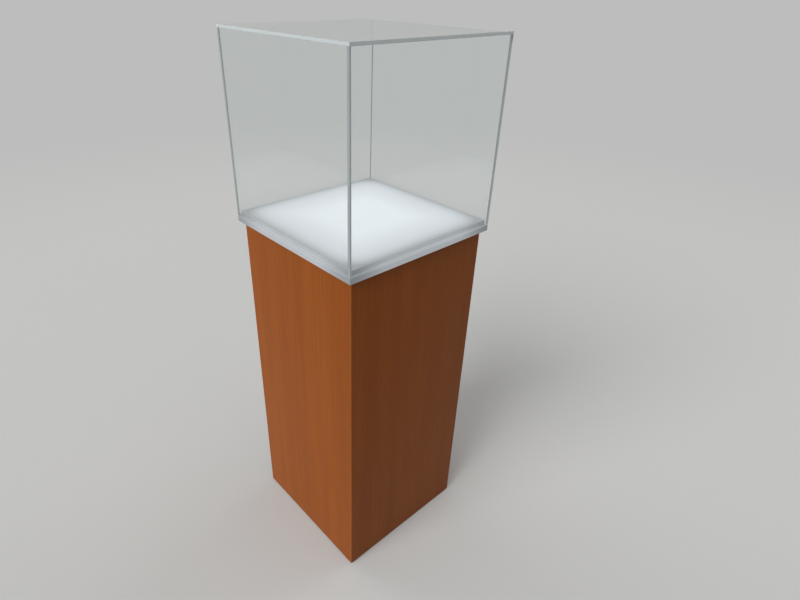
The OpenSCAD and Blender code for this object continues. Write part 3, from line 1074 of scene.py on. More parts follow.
    def split(self, point: Vector, direction: Vector) -> None:
        """Cuts the faces along a plane, so that each side can have its own finish."""
        everything = self.mesh.verts[:] + self.mesh.edges[:] + self.mesh.faces[:]
        bmesh.ops.bisect_plane(self.mesh, geom=everything, plane_co=point, plane_no=direction, dist=1e-7)

    def repaint(self, finish: Finish, chosen: Callable[[Vector, Vector], bool]) -> None:
        """Gives some of the faces a finish.

        Args:
            finish: The finish.
            chosen: A test of a face's middle and direction, which picks the face.
        """
        number = self._number(finish)
        self.mesh.normal_update()
        for face in self.mesh.faces:
            if chosen(face.calc_center_median(), face.normal):
                face.material_index = number

    def piece(self, name: str) -> bpy.types.Object:
        """Ends the mesh and makes the object.

        Args:
            name: The object's name.

        Returns:
            The object, linked to the scene.
        """
        data = bpy.data.meshes.new(name)
        self.mesh.to_mesh(data)
        self.mesh.free()
        for finish in self.finishes:
            data.materials.append(finish.material())
        made = bpy.data.objects.new(name, data)
        bpy.context.scene.collection.objects.link(made)
        return made


def settle(shape: Shape, name: str, body: str, slot: str, *nodes: str) -> None:
    """Makes a piece of a shape, gives it its body, and hides the nodes that it stands for.

    Args:
        shape: The shape, in place.
        name: The piece's name.
        body: The body that it rides on.
        slot: The record's material slot; not used.
        nodes: The CAD nodes that it replaces.
    """
    piece = shape.piece(name)
    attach(piece, body)
    if nodes:
        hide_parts(*nodes)
    stands_for = ", ".join(nodes) or "itself"
    log.info("%s: %d faces on %s, for %s", name, len(piece.data.polygons), body, stands_for)


def dress(finish: Finish, *nodes: str) -> None:
    """Gives CAD nodes that keep their own shape a finish.

    Args:
        finish: The finish.
        nodes: The nodes.
    """
    for node in nodes:
        materials = frame["nodes"][node].data.materials
        materials.clear()
        materials.append(finish.material())
        log.info("%s: keeps its shape, in %s", node, finish.name)


def numbered(name: str, count: int) -> list[str]:
    """The names of nodes that differ in their last number only."""
    return [f"{name}_{i}" for i in range(1, count + 1)]


# ---- The cabinet ----


@dataclass
class Plinth:
    """The wood plinth: mitred laminate panels, battens, base panel and glides.

    Attributes:
        arris: Width of the rounding on the glides.
        laminate: Finish of the panels.
        softwood: Finish of the battens and the base panel.
        nylon: Finish of the glides.
    """

    arris: float = 0.5 * MM
    laminate: WoodLaminate = WoodLaminate("laminate")
    softwood: Softwood = Softwood("softwood")
    nylon: MouldedPlastic = MouldedPlastic("nylon", srgb(46, 46, 46), 0.55)

    def build(self) -> None:
        """Dresses the panels, battens and base, and builds the glides."""
        dress(self.laminate, *(side + "_panel" for side in ("front", "back", "left", "right")))
        dress(self.softwood, "base_panel", *numbered("corner_batten", 4))
        for node in numbered("glide", 4):
            shape = Shape.softened(node, self.arris, self.nylon)
            settle(shape, node + "_moulding", "plinth", "nylon", node)
        dress(ZINC, "glide_screws")


@dataclass
class LightBox:
    """The tray under the lit top, with its strips of lamps.

    Each small block's size is half its width, half its depth and its whole height.

    Attributes:
        strips: Number of strips.
        board: Thickness of a strip's board.
        bare: Length of board that the lamps leave free.
        pitch: Distance between lamps.
        lamp: Size of a lamp's body.
        window: Radius and height of its phosphor window.
        chip: Size of a resistor.
        cap: Size of a resistor's plated end.
        cap_at: Distance of that end from the resistor's middle.
        pad: Size of a copper pad, where the strip may be cut.
        pad_at: Distance of the pads from the strip's middle.
        group: Number of lamps in a group, with a resistor after the second and pads after the last.
        arris: Width of the rounding on the boards and resistors.
        lamp_arris: Width of the rounding on the lamps.
        cap_arris: Width of the rounding on the resistors' ends.
        paint: Finish of the tray.
        mask: Finish of the boards.
        lamp_case: Finish of the lamps' bodies.
        phosphor: Finish of their windows.
        resistor: Finish of the resistors.
    """

    strips: int = 6
    board: float = 0.6 * MM
    bare: float = 18.0 * MM
    pitch: float = 16.5 * MM
    lamp: Vector = mm(2.5, 2.5, 1.34)
    window: tuple[float, float] = (1.95 * MM, 0.06 * MM)
    chip: Vector = mm(1.6, 0.8, 0.55)
    cap: Vector = mm(0.3, 0.85, 0.58)
    cap_at: float = 1.5 * MM
    pad: Vector = mm(1.1, 1.6, 0.04)
    pad_at: float = 2.6 * MM
    group: int = 3
    arris: float = 0.1 * MM
    lamp_arris: float = 0.25 * MM
    cap_arris: float = 0.08 * MM
    paint: PaintedBoard = PaintedBoard("tray_paint")
    mask: MouldedPlastic = MouldedPlastic("solder_mask", srgb(236, 236, 230), 0.35)
    lamp_case: MouldedPlastic = MouldedPlastic("lamp_body", srgb(240, 238, 226), 0.4)
    phosphor: MouldedPlastic = MouldedPlastic("phosphor", srgb(255, 245, 206), 0.3, glow=1.0)
    resistor: MouldedPlastic = MouldedPlastic("resistor", srgb(34, 34, 36), 0.4)

    def _resistor(self, shape: Shape, foot: Vector) -> None:
        """Adds a resistor with plated ends to a strip.

        Args:
            shape: The strip.
            foot: The middle of the resistor's underside.
        """
        shape.block(foot, self.chip, self.resistor, self.arris)
        for end in (-1, 1):
            shape.block(foot + RIGHT * end * self.cap_at, self.cap, TINNED_COPPER, self.cap_arris)

    def _strip(self, node: str) -> None:
        """Builds a strip: its board, lamps, resistors and pairs of copper pads.

        Args:
            node: The CAD node.
        """
        low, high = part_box(node)
        middle = (low + high) / 2
        top = low.z + self.board
        shape = Shape()
        shape.box(low, Vector((high.x, high.y, top)), self.mask, self.arris)
        count = math.floor((high.y - low.y - self.bare) / self.pitch + HAIR)
        for k in range(count):
            foot = Vector((middle.x, middle.y + (k - (count - 1) / 2) * self.pitch, top))
            beyond = foot + BACK * self.pitch / 2
            shape.block(foot, self.lamp, self.lamp_case, self.lamp_arris)
            shape.disc(foot + UP * self.lamp.z, *self.window, self.phosphor)
            if k % self.group == 1:
                self._resistor(shape, beyond)
            if k % self.group == self.group - 1 and k < count - 1:
                for side in (-1, 1):
                    shape.block(beyond + RIGHT * side * self.pad_at, self.pad, TINNED_COPPER)
        settle(shape, node + "_lamps", "plinth", "strip_board", node)

    def build(self) -> None:
        """Dresses the tray and builds the strips."""
        dress(self.paint, "light_tray")
        dress(ZINC, "tray_screws")
        for node in numbered("led_strip", self.strips):
            self._strip(node)


@dataclass
class Driver:
    """The lamp driver on the back panel, with a cover over each end.

    Attributes:
        arris: Width of the rounding on the case and the covers.
        plate: Half the size of the bare plate on the driver's front.
        rib: Half the size of a rib on that front.
        ribs: Number of ribs above the plate, and below it.
        rib_pitch: Distance between them.
        grip: Half the size of a grip rib on a cover.
        grips: Number of grip ribs on each cover.
        grip_pitch: Distance between them.
        inmost: Distance of the inmost one from the cover's middle, towards the driver.
        plate_arris: Width of the rounding on the plate.
        rib_arris: Width of the rounding on the ribs.
        white: Finish of the driver's case.
        foil: Finish of the plate.
        cover: Finish of the covers.
    """

    arris: float = 1.0 * MM
    plate: Vector = mm(15, 0.3, 36)
    rib: Vector = mm(17, 0.4, 0.8)
    ribs: int = 4
    rib_pitch: float = 5.0 * MM
    grip: Vector = mm(12, 0.4, 0.8)
    grips: int = 4
    grip_pitch: float = 2.4 * MM
    inmost: float = 3.0 * MM
    plate_arris: float = 0.1 * MM
    rib_arris: float = 0.35 * MM
    white: MouldedPlastic = MouldedPlastic("driver_plastic", srgb(226, 228, 228), 0.45)
    foil: PlatedMetal = PlatedMetal("plate_foil", srgb(190, 192, 194), 0.42)
    cover: MouldedPlastic = MouldedPlastic("cover_plastic", srgb(208, 210, 211), 0.5)

    @staticmethod
    def _front(node: str) -> Vector:
        """The middle of a node's front."""
        low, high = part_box(node)
        return Vector(((low.x + high.x) / 2, low.y, (low.z + high.z) / 2))

    def _rib(self, shape: Shape, middle: Vector, half: Vector, finish: Finish) -> None:
        """Adds a rib, from its middle and half its size."""
        shape.box(middle - half, middle + half, finish, self.rib_arris)

    def _case(self, node: str) -> None:
        """Builds the driver's case, with the bare plate and the ribs on its front.

        Args:
            node: The CAD node.
        """
        front = self._front(node)
        shape = Shape.softened(node, self.arris, self.white)
        shape.box(front - self.plate, front + self.plate, self.foil, self.plate_arris)
        for side in (-1, 1):
            for k in range(self.ribs):
                level = side * (self.plate.z + (k + 1) * self.rib_pitch)
                self._rib(shape, front + UP * level, self.rib, self.white)
        settle(shape, node + "_case", "plinth", "driver_white", node)

    def _end_cover(self, node: str, outward: int) -> None:
        """Builds an end cover, with grip ribs on its front.

        Args:
            node: The CAD node.
            outward: 1 where the cover's outer end is its upper one, and -1 where it is the lower one.
        """
        front = self._front(node)
        shape = Shape.softened(node, self.arris, self.cover)
        for k in range(self.grips):
            level = outward * (k * self.grip_pitch - self.inmost)
            self._rib(shape, front + UP * level, self.grip, self.cover)
        settle(shape, node + "_case", "plinth", "driver_white", node)

    def build(self) -> None:
        """Builds the driver and its covers, and dresses its screws."""
        self._case("led_driver")
        self._end_cover("driver_cover_mains", -1)
        self._end_cover("driver_cover_dc", 1)
        dress(ZINC, "driver_screws")


@dataclass
class Leads:
    """The leads and feed wires, with their cores and solder, and the clips on the mains lead.

    Attributes:
        panel: Distance of the back panel's inner face from the middle.
        in_boot: The mains lead's distance from that face inside the inlet's boot.
        on_panel: Its distance from that face under the clips.
        entry: The distance of both leads where they enter the driver.
        bend: Height of each bend of the mains lead.
        bends_at: Heights at which its two bends start.
        turn: Radius of the low-voltage lead's bend.
        lengths: Number of short lengths that a bend is made of.
        bared: Length of the cores that show at a lead's end; as much again is inside the lead.
        core: Radius of a core of the low-voltage lead.
        boot_core: Radius of a core in the inlet's boot.
        mains_core: Radius of a core of the mains lead at the driver.
        apart: Distance of the low-voltage lead's cores from its middle, which doubles on the feed wires.
        mains_apart: Distance of the mains lead's cores from its middle.
        fan: Distance of the boot's cores from the lead's middle, as a share of their tabs' distance.
        hidden: How far a core's end reaches into its lead or its terminal.
        tabs: The inlet's tabs across and up, in millimetres.
        terminal: Corners of a sleeved terminal, from the end of its tab.
        terminal_arris: Width of the rounding on it.
        boot_pulls: How a core leaves the mains lead, and how it enters its terminal.
        feed_pulls: How a core leaves the low-voltage lead, and how it comes down on its feed wire.
        over: Height of a core's end over its feed wire.
        feed_drop: Size of the solder where a core meets its feed wire.
        joint: Length of feed wire left bare at each solder joint.
        joint_at: Distance of the solder joints from the middle of their strip.
        joint_drop: Width and depth of the solder on a strip, and its height in radii of the wire.
        strand: Radius of the bare wire, in radii of the whole wire.
        sunk: Depth of the solder's middle under the wire's middle, in such radii.
        clip_arris: Width of the rounding on the clips.
        black: Finish of the mains lead, and of one low-voltage core and wire.
        pale: Finish of the low-voltage lead.
        red: Finish of the other low-voltage core and wire.
        brown: Finish of the live core.
        blue: Finish of the neutral core.
        green: Finish of the earth core.
        sleeve: Finish of the terminals' sleeves.
        clip: Finish of the clips.
        solder: Finish of the solder.
    """

    panel: float = 182.0 * MM
    in_boot: float = 17.0 * MM
    on_panel: float = 3.3 * MM
    entry: float = 10.0 * MM
    bend: float = 40.0 * MM
    bends_at: tuple[float, float] = (123.45 * MM, 478.0 * MM)
    turn: float = 9.0 * MM
    lengths: int = 24
    bared: float = 4.0 * MM
    core: float = 0.8 * MM
    boot_core: float = 1.04 * MM
    mains_core: float = 1.12 * MM
    apart: float = 1.3 * MM
    mains_apart: float = 1.4 * MM
    fan: float = 0.2
    hidden: float = 1.0 * MM
    tabs: tuple[tuple[float, float], ...] = ((-7.0, 65.5), (0.0, 69.5), (7.0, 65.5))
    terminal: tuple[Vector, Vector] = (mm(-1.5, -2.5, -3.2), mm(1.5, 8, 3.2))
    terminal_arris: float = 0.6 * MM
    boot_pulls: tuple[Vector, Vector] = (mm(0, -2, -14), mm(0, 5, -4))
    feed_pulls: tuple[Vector, Vector] = (mm(0, -1.6, 0.5), mm(0, -0.6, -0.6))
    over: float = 0.3 * MM
    feed_drop: Vector = mm(3.2, 2.4, 1.8)
    joint: float = 4.4 * MM
    joint_at: float = 2.4 * MM
    joint_drop: tuple[float, float, float] = (3.6 * MM, 2.6 * MM, 1.05)
    strand: float = 0.55
    sunk: float = 0.45
    clip_arris: float = 0.5 * MM
    black: MouldedPlastic = MouldedPlastic("black_insulation", srgb(30, 30, 31), 0.5)
    pale: MouldedPlastic = MouldedPlastic("white_insulation", srgb(226, 226, 220), 0.5)
    red: MouldedPlastic = MouldedPlastic("red_insulation", srgb(170, 40, 32), 0.45)
    brown: MouldedPlastic = MouldedPlastic("brown_insulation", srgb(104, 64, 40), 0.45)
    blue: MouldedPlastic = MouldedPlastic("blue_insulation", srgb(42, 92, 170), 0.45)
    green: MouldedPlastic = MouldedPlastic("green_insulation", srgb(64, 140, 58), 0.45)
    sleeve: MouldedPlastic = MouldedPlastic("sleeve_plastic", srgb(188, 46, 40), 0.35)
    clip: MouldedPlastic = MouldedPlastic("clip_plastic", srgb(232, 232, 226), 0.4)
    solder: PlatedMetal = PlatedMetal("solder", srgb(200, 202, 204), 0.25)

    def _off_panel(self, distance: float, height: float) -> Vector:
        """The point at a distance from the back panel's inner face, and at a height."""
        return Vector((0, self.panel - distance, height))

    def _sideways(self, start: float, end: float, foot: float) -> list[Vector]:
        """The mains lead's bend from one distance off the panel to another, up from a height."""
        swings = [(s, (1 - math.cos(math.pi * s)) / 2) for s in spaced(self.lengths)]
        return [self._off_panel(start + (end - start) * swing, foot + self.bend * s) for s, swing in swings]

    def _curve(self, start: Vector, end: Vector, pulls: tuple[Vector, Vector]) -> list[Vector]:
        """A smooth way from start to end, with the pull of each end."""
        return interpolate_bezier(start, start + pulls[0], end - pulls[1], end, self.lengths)

    def _mains(self) -> None:
        """Builds the mains lead, with its cores at the driver."""
        low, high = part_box("mains_lead")
        top = self._off_panel(self.entry, high.z)
        route = [self._off_panel(self.in_boot, low.z)]
        route += self._sideways(self.in_boot, self.on_panel, self.bends_at[0])
        route += self._sideways(self.on_panel, self.entry, self.bends_at[1])
        route.append(top - UP * self.bared)
        shape = Shape()
        shape.tube(route, (high.x - low.x) / 2, self.black, sides=28)
        for side, finish in ((-self.mains_apart, self.brown), (self.mains_apart, self.blue)):
            end = top + RIGHT * side
            shape.tube([end - UP * 2 * self.bared, end], self.mains_core, finish)
        settle(shape, "mains_lead_jacket", "plinth", "lead_black", "mains_lead")

    def _inlet_cores(self) -> None:
        """Builds the three cores inside the boot, each in a sleeved terminal on its tab."""
        foot = self._off_panel(self.in_boot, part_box("mains_lead")[0].z)
        tabs_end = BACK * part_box("inlet_pins")[0].y
        low, high = self.terminal
        shape = Shape()
        for (x, z), finish in zip(self.tabs, (self.brown, self.green, self.blue)):
            tab = mm(x, 0, z) + tabs_end
            start = foot + mm(x * self.fan, 0, 0) + UP * self.hidden
            end = tab + BACK * (low.y + self.hidden)
            shape.tube(self._curve(start, end, self.boot_pulls), self.boot_core, finish)
            shape.box(tab + low, tab + high, self.sleeve, self.terminal_arris, segments=3)
        settle(shape, "inlet_cores", "plinth", "lead_black")

    def _low_voltage(self) -> None:
        """Builds the lead from the driver up through the tray's notch, with its cores on the feed wires."""
        low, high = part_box("dc_lead")
        feed_low, feed_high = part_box("feed_bus")
        radius = (high.x - low.x) / 2
        foot = self._off_panel(self.entry, low.z)
        around = self._off_panel(self.entry + self.turn, high.z - radius - self.turn)
        turns = [Vector((0, math.cos(a), math.sin(a))) for a in spaced(self.lengths, math.pi / 2)]
        end = Vector((0, low.y, high.z - radius))
        shape = Shape()
        route = [foot + UP * self.bared, *(around + self.turn * turn for turn in turns), end]
        shape.tube(route, radius, self.pale, sides=24)
        wire = (feed_high.z - feed_low.z) / 2
        cores = ((-self.apart, feed_high.y - wire, self.red), (self.apart, feed_low.y + wire, self.black))
        for side, row, finish in cores:
            aside = RIGHT * side
            shape.tube([foot + aside, foot + aside + UP * 2 * self.bared], self.core, finish)
            joint = Vector((2 * side, row, feed_high.z))
            start = end + aside + BACK * self.hidden
            shape.tube(self._curve(start, joint + UP * self.over, self.feed_pulls), self.core, finish)
            shape.drop(joint, self.feed_drop, self.solder)
        settle(shape, "dc_lead_jacket", "plinth", "lead_white", "dc_lead")

    def _feed_wires(self) -> None:
        """Builds the two feed wires, bared and soldered where they cross the strips."""
        low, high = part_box("feed_bus")
        radius = (high.z - low.z) / 2
        strips = numbered("led_strip", LightBox.strips)
        crossings = [sum(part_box(strip), Vector()).x / 2 for strip in strips]
        width, depth, height = self.joint_drop
        drop = Vector((width, depth, height * radius))
        shape = Shape()
        for row, side, finish in ((high.y - radius, -1, self.red), (low.y + radius, 1, self.black)):
            place = Vector((0, row, low.z + radius))
            joints = [x + side * self.joint_at for x in crossings]
            stops = [low.x, *(x + e * self.joint / 2 for x in joints for e in (-1, 1)), high.x]
            strand = [place + RIGHT * low.x, place + RIGHT * high.x]
            shape.tube(strand, radius * self.strand, TINNED_COPPER, sides=12)
            for start, end in zip(stops[::2], stops[1::2]):
                if end - start > radius:
                    shape.tube([place + RIGHT * start, place + RIGHT * end], radius, finish, sides=18)
            for x in joints:
                shape.drop(place + RIGHT * x - UP * radius * self.sunk, drop, self.solder)
        settle(shape, "feed_wires", "plinth", "copper_wire", "feed_bus")

    def build(self) -> None:
        """Builds the leads, wires and clips, and dresses the clips' screws."""
        self._mains()
        self._inlet_cores()
        self._low_voltage()
        self._feed_wires()
        for node in numbered("cable_clip", 3):
            shape = Shape.softened(node, self.clip_arris, self.clip)
            settle(shape, node + "_moulding", "plinth", "clip_white", node)
        dress(ZINC, "clip_screws")


@dataclass
class Inlet:
    """The mains inlet with its boot, rocker switch and fuse drawer.

    Each cross-section's corners are millimetres out and up.

    Attributes:
        window: Half the size of the rocker's window.
        rim: Cross-section of the raised rim round that window.
        tilt: The rocker's tilt at rest.
        valley: Distance from the rocker's pivot to the middle of its face.
        half_height: Half the rocker's height.
        bar: Corners of the bar on the rocker's pressed half, from that half's middle.
        ring: Cross-section of the ring on its other half.
        neck: Cross-section of a ring round the boot's neck.
        neck_rings: Number of such rings.
        neck_pitch: Distance between them.
        wire: Radius of the fuse's wire.
        sag: How far that wire hangs down in its middle.
        body_arris: Width of the rounding on the inlet's body.
        boot_arris: Width of the rounding on the boot.
        rocker_arris: Width of the rounding on the rocker.
        small_arris: Width of the rounding on the contacts and the drawer.
        black: Finish of the body and the rocker.
        rubber: Finish of the boot.
        grey: Finish of the drawer.
        ink: Finish of the marks on the rocker.
        nickel: Finish of the contacts, the fuse's caps and its wire.
        glass: Finish of the fuse's tube.
    """

    window: Vector = mm(9.5, 6.14, 0)
    rim: Section = ((1.1, -0.6), (1.1, 0.38), (0.88, 0.6), (0.22, 0.6), (0.0, 0.38), (0.0, -0.6))
    tilt: float = math.radians(12)
    valley: float = 4.0 * MM
    half_height: float = 4.9 * MM
    bar: tuple[Vector, Vector] = (mm(-0.35, -1.4, -0.1), mm(0.35, 1.4, 0.12))
    ring: Section = ((1.4, -0.1), (1.4, 0.12), (0.85, 0.12), (0.85, -0.1))
    neck: Section = ((5.55, 0.0), (5.9, 0.35), (5.9, 0.95), (5.55, 1.3), (4.6, 1.3), (4.6, 0.0))
    neck_rings: int = 4
    neck_pitch: float = 2.6 * MM
    wire: float = 0.12 * MM
    sag: float = 0.3 * MM
    body_arris: float = 0.35 * MM
    boot_arris: float = 0.9 * MM
    rocker_arris: float = 0.4 * MM
    small_arris: float = 0.3 * MM
    black: MouldedPlastic = MouldedPlastic("inlet_plastic", srgb(38, 38, 40), 0.42)
    rubber: MouldedPlastic = MouldedPlastic("boot_rubber", srgb(30, 30, 30), 0.6)
    grey: MouldedPlastic = MouldedPlastic("drawer_plastic", srgb(52, 52, 54), 0.4)
    ink: MouldedPlastic = MouldedPlastic("mark_ink", srgb(224, 224, 220), 0.5)
    nickel: PlatedMetal = PlatedMetal("nickel_plate", srgb(214, 208, 196), 0.22)
    glass: ClearGlass = ClearGlass("fuse_glass")

    @staticmethod
    def _pivot() -> Vector:
        """The rocker's pivot, from the joint."""
        return Vector(next(j["pos_m"] for j in frame["joints"] if j["name"] == "rocker_tilt"))

    @staticmethod
    def _circle(count: int = 32) -> list[Spoke]:
        """The spokes of a round rim."""
        return [(Vector(), Vector((math.cos(a), math.sin(a), 0))) for a in spaced(count, math.tau)[:-1]]

    def _body(self) -> None:
        """Builds the inlet's body, with a raised rim round the rocker's window."""
        pivot = self._pivot()
        middle = Vector((pivot.x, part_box("inlet_body")[1].y, pivot.z))
        corners = [Vector((x, y, 0)) for x, y in ((-1, -1), (1, -1), (1, 1), (-1, 1))]
        shape = Shape.softened("inlet_body", self.body_arris, self.black)
        at = Matrix.Translation(middle) @ Matrix.Rotation(-math.pi / 2, 4, "X")
        shape.hoop([(self.window * corner, corner) for corner in corners], self.rim, self.black, at)
        settle(shape, "inlet_moulding", "plinth", "inlet_black", "inlet_body")

    def _boot(self) -> None:
        """Builds the soft boot, with rings round its neck."""
        low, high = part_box("inlet_boot")
        lead_low, lead_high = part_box("mains_lead")
        middle = Vector(((low.x + high.x) / 2, lead_low.y + (lead_high.x - lead_low.x) / 2, high.z))
        shape = Shape.softened("inlet_boot", self.boot_arris, self.rubber)
        for k in range(self.neck_rings):
            foot = middle - UP * self.neck_pitch * (k + 1)
            shape.hoop(self._circle(), self.neck, self.rubber, Matrix.Translation(foot))
        settle(shape, "inlet_boot_moulding", "plinth", "inlet_black", "inlet_boot")

    def _rocker(self) -> None:
        """Builds the rocker, with a bar on its pressed half and a ring on the other."""
        shape = Shape.softened("rocker_switch", self.rocker_arris, self.black)
        slope = Vector((0, math.tan(self.tilt), 1)).normalized()
        pose = Matrix.Translation(self._pivot()) @ Matrix.Rotation(self.tilt, 4, "X")
        for half in (-1, 1):
            along = Vector((0, slope.y, half * slope.z))
            out = Vector((0, slope.z, -half * slope.y))
            middle = BACK * self.valley + along * 0.5 * self.half_height / slope.z
            turn = Matrix((RIGHT, out.cross(RIGHT), out)).transposed().to_4x4()
            at = pose @ Matrix.Translation(middle) @ turn
            if half > 0:
                shape.box(*self.bar, self.ink, at=at)
            else:
                shape.hoop(self._circle(), self.ring, self.ink, at)
        settle(shape, "rocker_moulding", "rocker", "inlet_black", "rocker_switch")

    def _fuse_wire(self) -> None:
        """Builds the thin wire in the glass fuse, with its slight sag."""
        low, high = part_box("fuse_tube")
        start = Vector((low.x, (low.y + high.y) / 2, (low.z + high.z) / 2))
        length = RIGHT * (high.x - low.x)
        way = [start + length * s - UP * self.sag * 4 * s * (1 - s) for s in spaced(12)]
        shape = Shape()
        shape.tube(way, self.wire, self.nickel, sides=8)
        settle(shape, "fuse_wire", "drawer", "contact_metal")

    def build(self) -> None:
        """Builds the inlet's mouldings and contacts, and dresses the small metal and glass pieces."""
        self._body()
        self._boot()
        contacts = Shape.softened("inlet_pins", self.small_arris, self.nickel)
        settle(contacts, "inlet_contacts", "plinth", "contact_metal", "inlet_pins")
        self._rocker()
        drawer = Shape.softened("fuse_drawer", self.small_arris, self.grey)
        settle(drawer, "fuse_drawer_moulding", "drawer", "inlet_black", "fuse_drawer")
        self._fuse_wire()
        dress(self.nickel, "fuse_caps")
        dress(ZINC, "inlet_screws")
        dress(self.glass, "fuse_tube")


@dataclass
class LitTop:
    """The two opal sheets and the locating blocks under them.

    Attributes:
        arris: Width of the sheets' polished arrises.
        joint: Space left between pieces that are bonded face to face.
        opal: Finish of the sheets and blocks.
    """

    arris: float = 1.0 * MM
    joint: float = 0.02 * MM
    opal: LitOpal = LitOpal("lit_opal")

    def _slab(self, node: str, ending: str, foot: float, arris: float, segments: int) -> None:
        """Builds a sheet or a block.

        Args:
            node: The CAD node.
            ending: The end of the piece's name.
            foot: Space left under it.
            arris: Width of its arrises.
            segments: Number of faces across an arris.
        """
        low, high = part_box(node)
        shape = Shape()
        shape.box(low + UP * foot, high - UP * self.joint, self.opal, arris, segments)
        settle(shape, node + ending, "light_top", "opal", node)

    def build(self) -> None:
        """Builds the sheets and blocks."""
        for node in ("opal_base", "opal_raised"):
            self._slab(node, "_sheet", self.joint, self.arris, 4)
        for node in numbered("locating_block", 4):
            self._slab(node, "_polished", 0.0, self.arris / 2, 3)


class Wall(Enum):
    """How a wall of the cover meets its neighbours."""

    WIDE = "over the ends of its neighbours"
    NARROW = "between its neighbours"


@dataclass
class Cover:
    """The clear cover: four walls and a top sheet, bonded along their edges.

    Attributes:
        thickness: Thickness of the sheets.
        arris: Width of the arrises left by the polishing.
        joint: Space left between bonded faces.
        clear: Finish of the sheets' faces.
        edge: Finish of the walls' edges.
        bond: Finish of the strips of a wall that its neighbours are bonded to.
        rim: Finish of the lid's edges and bonded strips.
        foot: Finish of the walls' lower edges, with the strongest painted glow.
    """

    thickness: float = 6.0 * MM
    arris: float = 0.35 * MM
    joint: float = 0.03 * MM
    clear: ClearSheet = ClearSheet("clear_sheet")
    # Painted glow on every edge finish, for the light led along the sheets: most on the lower edges, which
    # stand on the lit opal, then the bonded strips, the lid's edges and the other edges
    edge: SheetEdge = SheetEdge("sheet_edge", srgb(152, 160, 160))
    bond: SheetEdge = SheetEdge("bonded_edge", srgb(152, 160, 160), 0.13)
    rim: SheetEdge = SheetEdge("lid_edge", srgb(196, 203, 203), 0.08)
    foot: SheetEdge = SheetEdge("foot_edge", srgb(138, 145, 146), 0.17)

    def _sheet(self, node: str, inner: float, ways: Sequence[Vector]) -> Shape:
        """Starts a clear sheet, smaller by the joint's gap all round.

        Args:
            node: The CAD node.
            inner: Distance from the middle at which its faces are cut.
            ways: The directions in which that distance is measured, each both ways.

        Returns:
            The sheet.
        """
        low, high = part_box(node)
        gap = Vector((self.joint,) * 3)
        shape = Shape()
        shape.box(low + gap, high - gap, self.clear, self.arris)
        for way in ways:
            for side in (-1, 1):
                shape.split(way * side * inner, way)
        return shape

    def _wall(self, node: str, kind: Wall) -> None:
        """Builds a wall, with its edges and joints in their own finishes.

        Args:
            node: The CAD node.
            kind: How it meets its neighbours.
        """
        low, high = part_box(node)
        across = 0 if high.x - low.x > high.y - low.y else 1
        inner = max(abs(low[across]), abs(high[across])) - self.thickness
        inward = -1 if (low + high)[1 - across] > 0 else 1
        shape = self._sheet(node, inner, [(RIGHT, BACK)[across]])

        def is_edge(middle: Vector, normal: Vector) -> bool:
            """Picks the wall's edges."""
            return abs(normal[1 - across]) < FACING

        def is_bonded(middle: Vector, normal: Vector) -> bool:
            """Picks the strips that its neighbours are bonded to."""
            return normal[1 - across] * inward > FACING and abs(middle[across]) > inner

        def is_foot(middle: Vector, normal: Vector) -> bool:
            """Picks the lower edge with its arrises."""
            return middle.z < low.z + self.joint + self.arris

        shape.repaint(self.edge, is_edge)
        if kind is Wall.WIDE:
            shape.repaint(self.bond, is_bonded)
        shape.repaint(self.foot, is_foot)
        settle(shape, node + "_sheet", "cover", "clear_sheet", node)

    def _lid(self, node: str) -> None:
        """Builds the top sheet, with the strips on its underside that the walls are bonded to.

        Args:
            node: The CAD node.
        """
        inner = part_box(node)[1].x - self.thickness
        shape = self._sheet(node, inner, (RIGHT, BACK))

        def is_edge(middle: Vector, normal: Vector) -> bool:
            """Picks the sheet's edges and the bonded strips."""
            return abs(normal.z) < FACING or (normal.z < 0 and max(abs(middle.x), abs(middle.y)) > inner)

        shape.repaint(self.rim, is_edge)
        settle(shape, node + "_sheet", "cover", "clear_sheet", node)

    def build(self) -> None:
        """Builds the four walls and the top."""
        for kind, sides in ((Wall.WIDE, ("front", "back")), (Wall.NARROW, ("left", "right"))):
            for side in sides:
                self._wall("cover_" + side, kind)
        self._lid("cover_top")


# ---- The studio ----


@dataclass
class PhotoCamera:
    """The camera at the photograph's angle, fitted to the cabinet's straight edges.

    Attributes:
        place: Where the camera stands.
        aim: A point on its line of sight.
        roll: Its turn about that line, in degrees.
        focal_px: Its focal length in pixels of its picture.
        middle_px: The line of sight's place in that picture, from its upper left corner.
        picture_px: The picture's width and height.
        film: Width of the camera's film, in millimetres.
    """

    place: Vector = Vector((-0.7984, -0.9205, 1.4109))
    aim: Vector = Vector((-0.2140, -0.2744, 0.8970))
    roll: float = -1.12
    focal_px: float = 544.1
    middle_px: tuple[float, float] = (370.7, 300.0)
    picture_px: tuple[float, float] = (800.0, 600.0)
    film: float = 36.0

    def build(self) -> None:
        """Makes the camera and hands it to the scene."""
        data = bpy.data.cameras.new("photo_camera")
        width, height = self.picture_px
        data.sensor_fit = "HORIZONTAL"
        data.sensor_width = self.film
        data.lens = self.focal_px / width * self.film
        data.shift_x = (width / 2 - self.middle_px[0]) / width
        data.shift_y = (self.middle_px[1] - height / 2) / width
        camera = bpy.data.objects.new("photo_camera", data)
        bpy.context.scene.collection.objects.link(camera)
        ahead = (self.aim - self.place).normalized()
        level = ahead.cross(UP).normalized()
        upright = level.cross(ahead)
        turn = math.radians(self.roll)
        right = level * math.cos(turn) - upright * math.sin(turn)
        above = level * math.sin(turn) + upright * math.cos(turn)
        pose = Matrix((right, above, -ahead)).transposed().to_4x4()
        camera.matrix_world = Matrix.Translation(self.place) @ pose
        bpy.context.scene.camera = camera


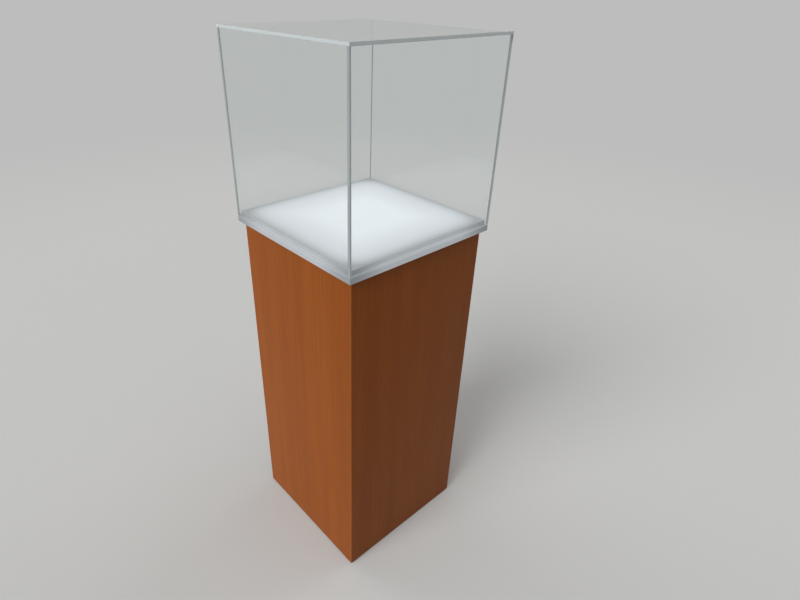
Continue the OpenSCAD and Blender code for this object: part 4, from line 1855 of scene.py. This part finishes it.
@dataclass(frozen=True)
class SoftLamp:
    """One large far lamp, which lights the cabinet and the whole floor evenly.

    Attributes:
        name: The lamp's name.
        source: The direction that its light comes from.
        level: How much it adds to a white surface that faces it.
        spread: Its width as an angle, in degrees; a wide lamp casts soft shadows.
    """

    name: str
    source: Vector
    level: float
    spread: float = 40.0

    def build(self) -> None:
        """Hangs the lamp so that it shines from its direction, unseen through clear sheets."""
        data = bpy.data.lights.new(self.name, "SUN")
        data.energy = self.level * math.pi
        data.angle = math.radians(self.spread)
        lamp = bpy.data.objects.new(self.name, data)
        bpy.context.scene.collection.objects.link(lamp)
        lamp.visible_transmission = False
        lamp.matrix_world = self.source.to_track_quat("Z", "Y").to_matrix().to_4x4()


@dataclass
class Studio:
    """Plain pale floor and backdrop, and soft lamps.

    Attributes:
        ambient: Strength of the even light from all round.
        floor: Half the floor's width and depth, and its thickness.
        plain: The floor's finish, whose backdrop colour the world has too.
        lamps: The lamps.
    """

    ambient: float = 0.22
    floor: Vector = Vector((20.0, 20.0, 0.02))
    plain: PlainFloor = PlainFloor("plain_floor")
    lamps: tuple[SoftLamp, ...] = (
        SoftLamp("key_lamp", Vector((-0.85, -0.06, 0.51)), 0.80),
        SoftLamp("right_lamp", Vector((0.93, -0.10, 0.35)), 0.22),
        SoftLamp("back_lamp", Vector((-0.20, 0.92, 0.35)), 0.22),
        SoftLamp("top_lamp", Vector((0.05, -0.15, 1.0)), 0.16, 60.0),
    )

    def _world(self) -> None:
        """Gives even light, and shows the backdrop to the eye, to gloss and through clear sheets."""
        world = bpy.data.worlds.new("studio")
        bpy.context.scene.world = world
        world.use_nodes = True
        graph = Graph(world.node_tree)
        even = graph.add("ShaderNodeBackground", sockets={"Color": (1, 1, 1), "Strength": self.ambient})
        far = graph.add("ShaderNodeBackground", sockets={"Color": self.plain.backdrop, "Strength": 1.0})
        graph.finish(graph.mix_shader(graph.seen(), even, far), "ShaderNodeOutputWorld")

    def build(self) -> None:
        """Sets the floor, the world and the lamps."""
        shape = Shape()
        shape.block(-UP * self.floor.z, self.floor, self.plain)
        shape.piece("studio_floor")
        self._world()
        for lamp in self.lamps:
            lamp.build()


def main() -> None:
    """Builds the camera, the cabinet and the studio in order."""
    logging.basicConfig(level=logging.INFO, format="%(message)s")
    bpy.context.scene.view_settings.view_transform = "Standard"
    PhotoCamera().build()
    for part in (Plinth(), LightBox(), Driver(), Leads(), Inlet(), LitTop(), Cover()):
        log.info("%s", type(part).__name__)
        part.build()
    Studio().build()


if __name__ == "__main__":
    main()
